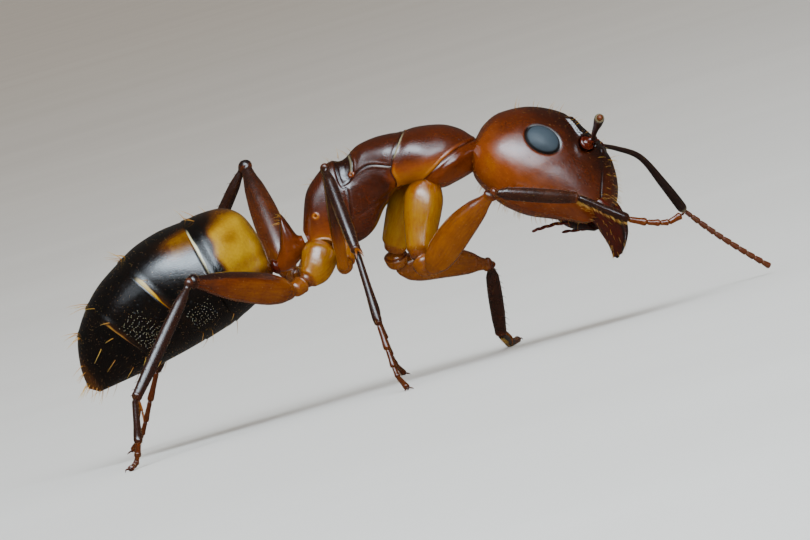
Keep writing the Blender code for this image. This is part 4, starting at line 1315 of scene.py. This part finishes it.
# Down of the coxa, the femur, the tibia, and the first two and the last three tarsus joints.
LEG_DOWN = ((50, 0.22, 0.030, 0.0017), (110, 0.22, 0.028, 0.0017), (90, 0.22, 0.030, 0.0017),
            (70, 0.22, 0.036, 0.0017), (30, 0.22, 0.036, 0.0017))
TOE_DOWN = (30, 0.35, 0.040, 0.0020)
COXA_HAIRS = (4, 0.85, 0.13, 0.0040, (0.1, 0.9))
BRUSH = (90, 0.45, 0.085, 0.0034, (0.06, 0.96), (0.42, 0.58), 0.15)    # under the front feet
SCAPE_DOWN = (150, 0.22, 0.026, 0.0013, (0.12, 0.97))
FUNICULUS_DOWN = (50, 0.30, 0.026, 0.0014)
# Bristles in two lines: first and last share along, how unevenly, lift, length and radius.
TIBIA_BRISTLES = (0.22, 0.95, 0.008, 0.50, 0.095, 0.0056)
TARSUS_BRISTLES = (0.08, 0.95, 0.0, 0.40, 0.070, 0.0044)


def coat_head(head, jaws):
    down = [scattered(head, (0, 0, 2), *HEAD_DOWN)]
    hairs = [scattered(head, (0, 0, 2), *row) for row in HEAD_HAIRS]
    hairs += [scattered(jaw, (k, 1, 2), *JAW_HAIRS) for k, jaw in enumerate(jaws)]
    coat_piece("head_down", down, DOWN)
    coat_piece("head_hairs", hairs, HAIR)


def coat_mesosoma(mesosoma, petiole):
    down = [scattered(mesosoma, (0, 0, 2), *BODY_DOWN)]
    hairs = [scattered(mesosoma, (0, 0, 2), *BODY_HAIRS), scattered(petiole, (1, 0, 2), *WAIST_HAIRS)]
    coat_piece("mesosoma_down", down, DOWN)
    coat_piece("mesosoma_hairs", hairs, HAIR)


def dot_field(skin, tile, along, around, columns, rows):
    """Short upright stubs in uneven rows; their pale material paints the glint of short golden hairs."""
    v, u = np.meshgrid(np.linspace(*along, columns), np.linspace(*around, rows))
    v = v.ravel() + CHANCE.normal(0, 0.011, columns * rows)
    u = u.ravel() + CHANCE.normal(0, 0.0028, columns * rows)
    return hairs_on(skin, tile, v, u, 1.0, 0.006, 0.0076, 0.02, 0.0)


def coat_gaster(gaster):
    down, dots, hairs = [], [], []
    for k, (skin, counts) in enumerate(zip(gaster, GASTER_HAIRS)):
        fine, in_row, few, on_back = counts
        tile = (k % 3, k // 3, 3)
        down.append(scattered(skin, tile, fine, 0.3, 0.022, 0.0014, (0.08, 0.9)))
        if k in DOT_FIELDS:
            dots.append(dot_field(skin, tile, *DOT_FIELDS[k]))
        u = (np.arange(in_row) + CHANCE.uniform(0.1, 0.9, in_row)) / in_row
        v = CHANCE.uniform(0.86, 0.955, in_row)
        hairs.append(hairs_on(skin, tile, v, u, 0.62, 0.24, 0.0078, 0.3))
        hairs.append(scattered(skin, tile, few, 0.7, 0.22, 0.0078, (0.3, 0.8), spread=0.3))
        hairs.append(scattered(skin, tile, on_back, 0.66, 0.32, 0.0086, (0.86, 0.96), (-0.05, 0.05), 0.2))
    coat_piece("gaster_down", down, DOWN)
    coat_piece("gaster_hairs", hairs, HAIR)
    coat_piece("gaster_dots", dots, PALE_GLINT_DOWN)


def bristle_line(skin, tile, around, first, last, uneven, *shape):
    count = 12
    v = np.linspace(first, last, count)
    if uneven:
        v += CHANCE.normal(0, uneven, count)
    return hairs_on(skin, tile, v, np.full(count, around), *shape, 0.12, 0.1)


def coat_legs(legs):
    down, hairs, stiff = [], [], []
    for row, skins in enumerate(legs):
        tiles = [(column, row, 6) for column in range(6)]
        down += [scattered(*place, *hair) for *place, hair in zip(skins, tiles, LEG_DOWN)]
        down += [scattered(skin, tiles[5], *TOE_DOWN) for skin in skins[5:]]
        coxa, _, tibia, tarsus, *_ = skins
        hairs.append(scattered(coxa, tiles[0], *COXA_HAIRS))
        for around in (0.43, 0.57):
            stiff.append(bristle_line(tibia, tiles[2], around, *TIBIA_BRISTLES))
            stiff.append(bristle_line(tarsus, tiles[3], around, *TARSUS_BRISTLES))
        if row < 2:
            hairs.append(scattered(tarsus, tiles[3], *BRUSH))
    coat_piece("leg_down", down, DOWN)
    coat_piece("leg_hairs", hairs, HAIR)
    coat_piece("leg_bristles", stiff, BRISTLE)


def coat_feelers(feelers):
    down = []
    for row, (scape, *funiculus) in enumerate(feelers):
        down.append(scattered(scape, (0, row, 4), *SCAPE_DOWN))
        down += [scattered(skin, (1 + k % 3, row, 4), *FUNICULUS_DOWN) for k, skin in enumerate(funiculus)]
    coat_piece("feeler_down", down, DOWN)


# ---------------- studio


FLOOR_RADIUS, FLOOR_SIDES = 4.0, 96
CAMERA_ROLL = math.radians(16)
CAMERA_AIM = Vector((-0.235, 0.91, 2.185)) * MM
CAMERA_DIP = math.radians(1.5)
CAMERA_LENS, SENSOR = 800.0, 36.0
FRAME_WIDTH = 16.2 * MM
LIGHT_DISTANCE = 0.41
LIGHT_AIM = Vector((0, 0, 3 * MM))
ROOM_COLOUR = (0.96, 0.91, 0.84, 1)
ROOM_LIGHT = 0.36                  # the pale room, as the floor and the camera see it
ROOM_GLOSS = 0.07                  # the same room as it mirrors in the shell, where dark cloths hang
COOL, MILD, WARM = (0.74, 0.88, 1.0), (0.78, 0.89, 1.0), (1.0, 0.94, 0.86)
# Soft panels: turn, rise, tilt, size, power, colour. Suns: direction, power, width, colour.
PANELS = {
    "key": (-4, 39, -27, (0.69, 0.15), 1.45, COOL),
    "core": (-25, 46, -20, (0.34, 0.20), 0.80, COOL),
    "veil": (-14, 45, -20, (0.72, 0.36), 1.30, MILD),
    "side": (-54, 26, 0, (0.16, 0.18), 0.07, MILD),
}
SUNS = {
    "fill": ((0.2, -1.0, 0.35), 0.40, 120, WARM),
    "back": ((0.3, 1.0, 0.8), 0.45, 90, (1.0, 0.95, 0.86)),
}


def paper_material():
    s = Shader("pale_floor")
    place = s.node("TexCoord").outputs["Object"]
    grain = s.node("TexNoise", Vector=place, Scale=40.0, Detail=3.0).outputs["Fac"]
    colour = s.ramp(grain, ((0.8, 0.75, 0.69), (0.84, 0.79, 0.73)), 0.3, 0.7)
    return s.finished(Base_Color=colour, Roughness=0.9, Specular_IOR_Level=0.1)


def make_floor():
    bpy.ops.mesh.primitive_circle_add(vertices=FLOOR_SIDES, radius=FLOOR_RADIUS, fill_type="NGON")
    floor = bpy.context.object
    floor.name = "studio_floor"
    floor.data.materials.append(paper_material())
    floor.visible_glossy = False


def turned_axes(*axes):
    return Matrix(axes).transposed().to_4x4()


def new_light(name, kind, power, colour):
    data = bpy.data.lights.new(name, kind)
    data.energy = power
    data.color = colour
    light = bpy.data.objects.new(name, data)
    light.visible_camera = False
    bpy.context.collection.objects.link(light)
    return light


def soft_panel(name, turn, rise, tilt, size, power, colour):
    """An oval soft panel round the camera: turn to the right of it and rise above it, in
    degrees, with the camera's own roll. Tilt lowers its right end."""
    light = new_light(name, "AREA", power, colour)
    light.data.shape = "ELLIPSE"
    light.data.size, light.data.size_y = size
    right = Vector((math.cos(CAMERA_ROLL), 0, -math.sin(CAMERA_ROLL)))
    up = Vector((math.sin(CAMERA_ROLL), 0, math.cos(CAMERA_ROLL)))
    turn, rise = math.radians(turn), math.radians(rise)
    way = (right * math.sin(turn) * math.cos(rise) + up * math.sin(rise)
           + Vector((0, -math.cos(turn) * math.cos(rise), 0)))
    across = (right - way * right.dot(way)).normalized()
    across = Matrix.Rotation(math.radians(tilt), 3, way) @ across
    place = Matrix.Translation(way * LIGHT_DISTANCE + LIGHT_AIM)
    light.matrix_world = place @ turned_axes(across, way.cross(across), way)


def soft_sun(name, way, power, width, colour):
    """A wide, even light from a direction, which doesn't mirror in the shell."""
    light = new_light(name, "SUN", power, colour)
    light.data.angle = math.radians(width)
    light.rotation_euler = Vector(way).to_track_quat("Z", "Y").to_euler()
    light.visible_glossy = False


def make_room():
    """A pale room that lights the floor more than it mirrors in the shell."""
    world = bpy.data.worlds.new("studio")
    bpy.context.scene.world = world
    world.use_nodes = True
    tree = world.node_tree
    background = tree.nodes["Background"]
    background.inputs["Color"].default_value = ROOM_COLOUR
    path = tree.nodes.new("ShaderNodeLightPath")
    strength = tree.nodes.new("ShaderNodeMapRange")
    strength.inputs["To Min"].default_value = ROOM_LIGHT
    strength.inputs["To Max"].default_value = ROOM_GLOSS
    tree.links.new(path.outputs["Is Glossy Ray"], strength.inputs["Value"])
    tree.links.new(strength.outputs["Result"], background.inputs["Strength"])


def make_studio():
    make_floor()
    make_room()
    for name, settings in PANELS.items():
        soft_panel(name, *settings)
    for name, settings in SUNS.items():
        soft_sun(name, *settings)


def make_camera():
    """A long lens on the ant's right, rolled so that the ant's level line climbs to the right."""
    data = bpy.data.cameras.new("camera")
    data.lens = CAMERA_LENS
    data.sensor_width = SENSOR
    data.clip_start, data.clip_end = 0.01, 20.0
    camera = bpy.data.objects.new("camera", data)
    distance = FRAME_WIDTH * CAMERA_LENS / SENSOR
    back = Vector((0, -math.cos(CAMERA_DIP), math.sin(CAMERA_DIP)))
    right = Vector((1, 0, 0))
    up = back.cross(right)
    turned_right = right * math.cos(CAMERA_ROLL) - up * math.sin(CAMERA_ROLL)
    turned_up = up * math.cos(CAMERA_ROLL) + right * math.sin(CAMERA_ROLL)
    place = Matrix.Translation(CAMERA_AIM + back * distance)
    camera.matrix_world = place @ turned_axes(turned_right, turned_up, back)
    bpy.context.collection.objects.link(camera)
    bpy.context.scene.camera = camera


def main():
    head = make_head()
    for side in SIDE_LETTERS:
        make_eye(side)
    jaws = [make_mandible(side) for side in SIDE_LETTERS]
    make_mouth()
    make_toruli()
    feelers = [make_feeler(side) for side in SIDE_LETTERS]
    mesosoma = make_mesosoma()
    petiole = make_petiole()
    make_helcium()
    gaster = make_gaster()
    legs = [make_leg(name, joints) for name, joints in LEGS.items()]
    coat_head(head, jaws)
    coat_mesosoma(mesosoma, petiole)
    coat_gaster(gaster)
    coat_legs(legs)
    coat_feelers(feelers)
    make_studio()
    make_camera()


main()
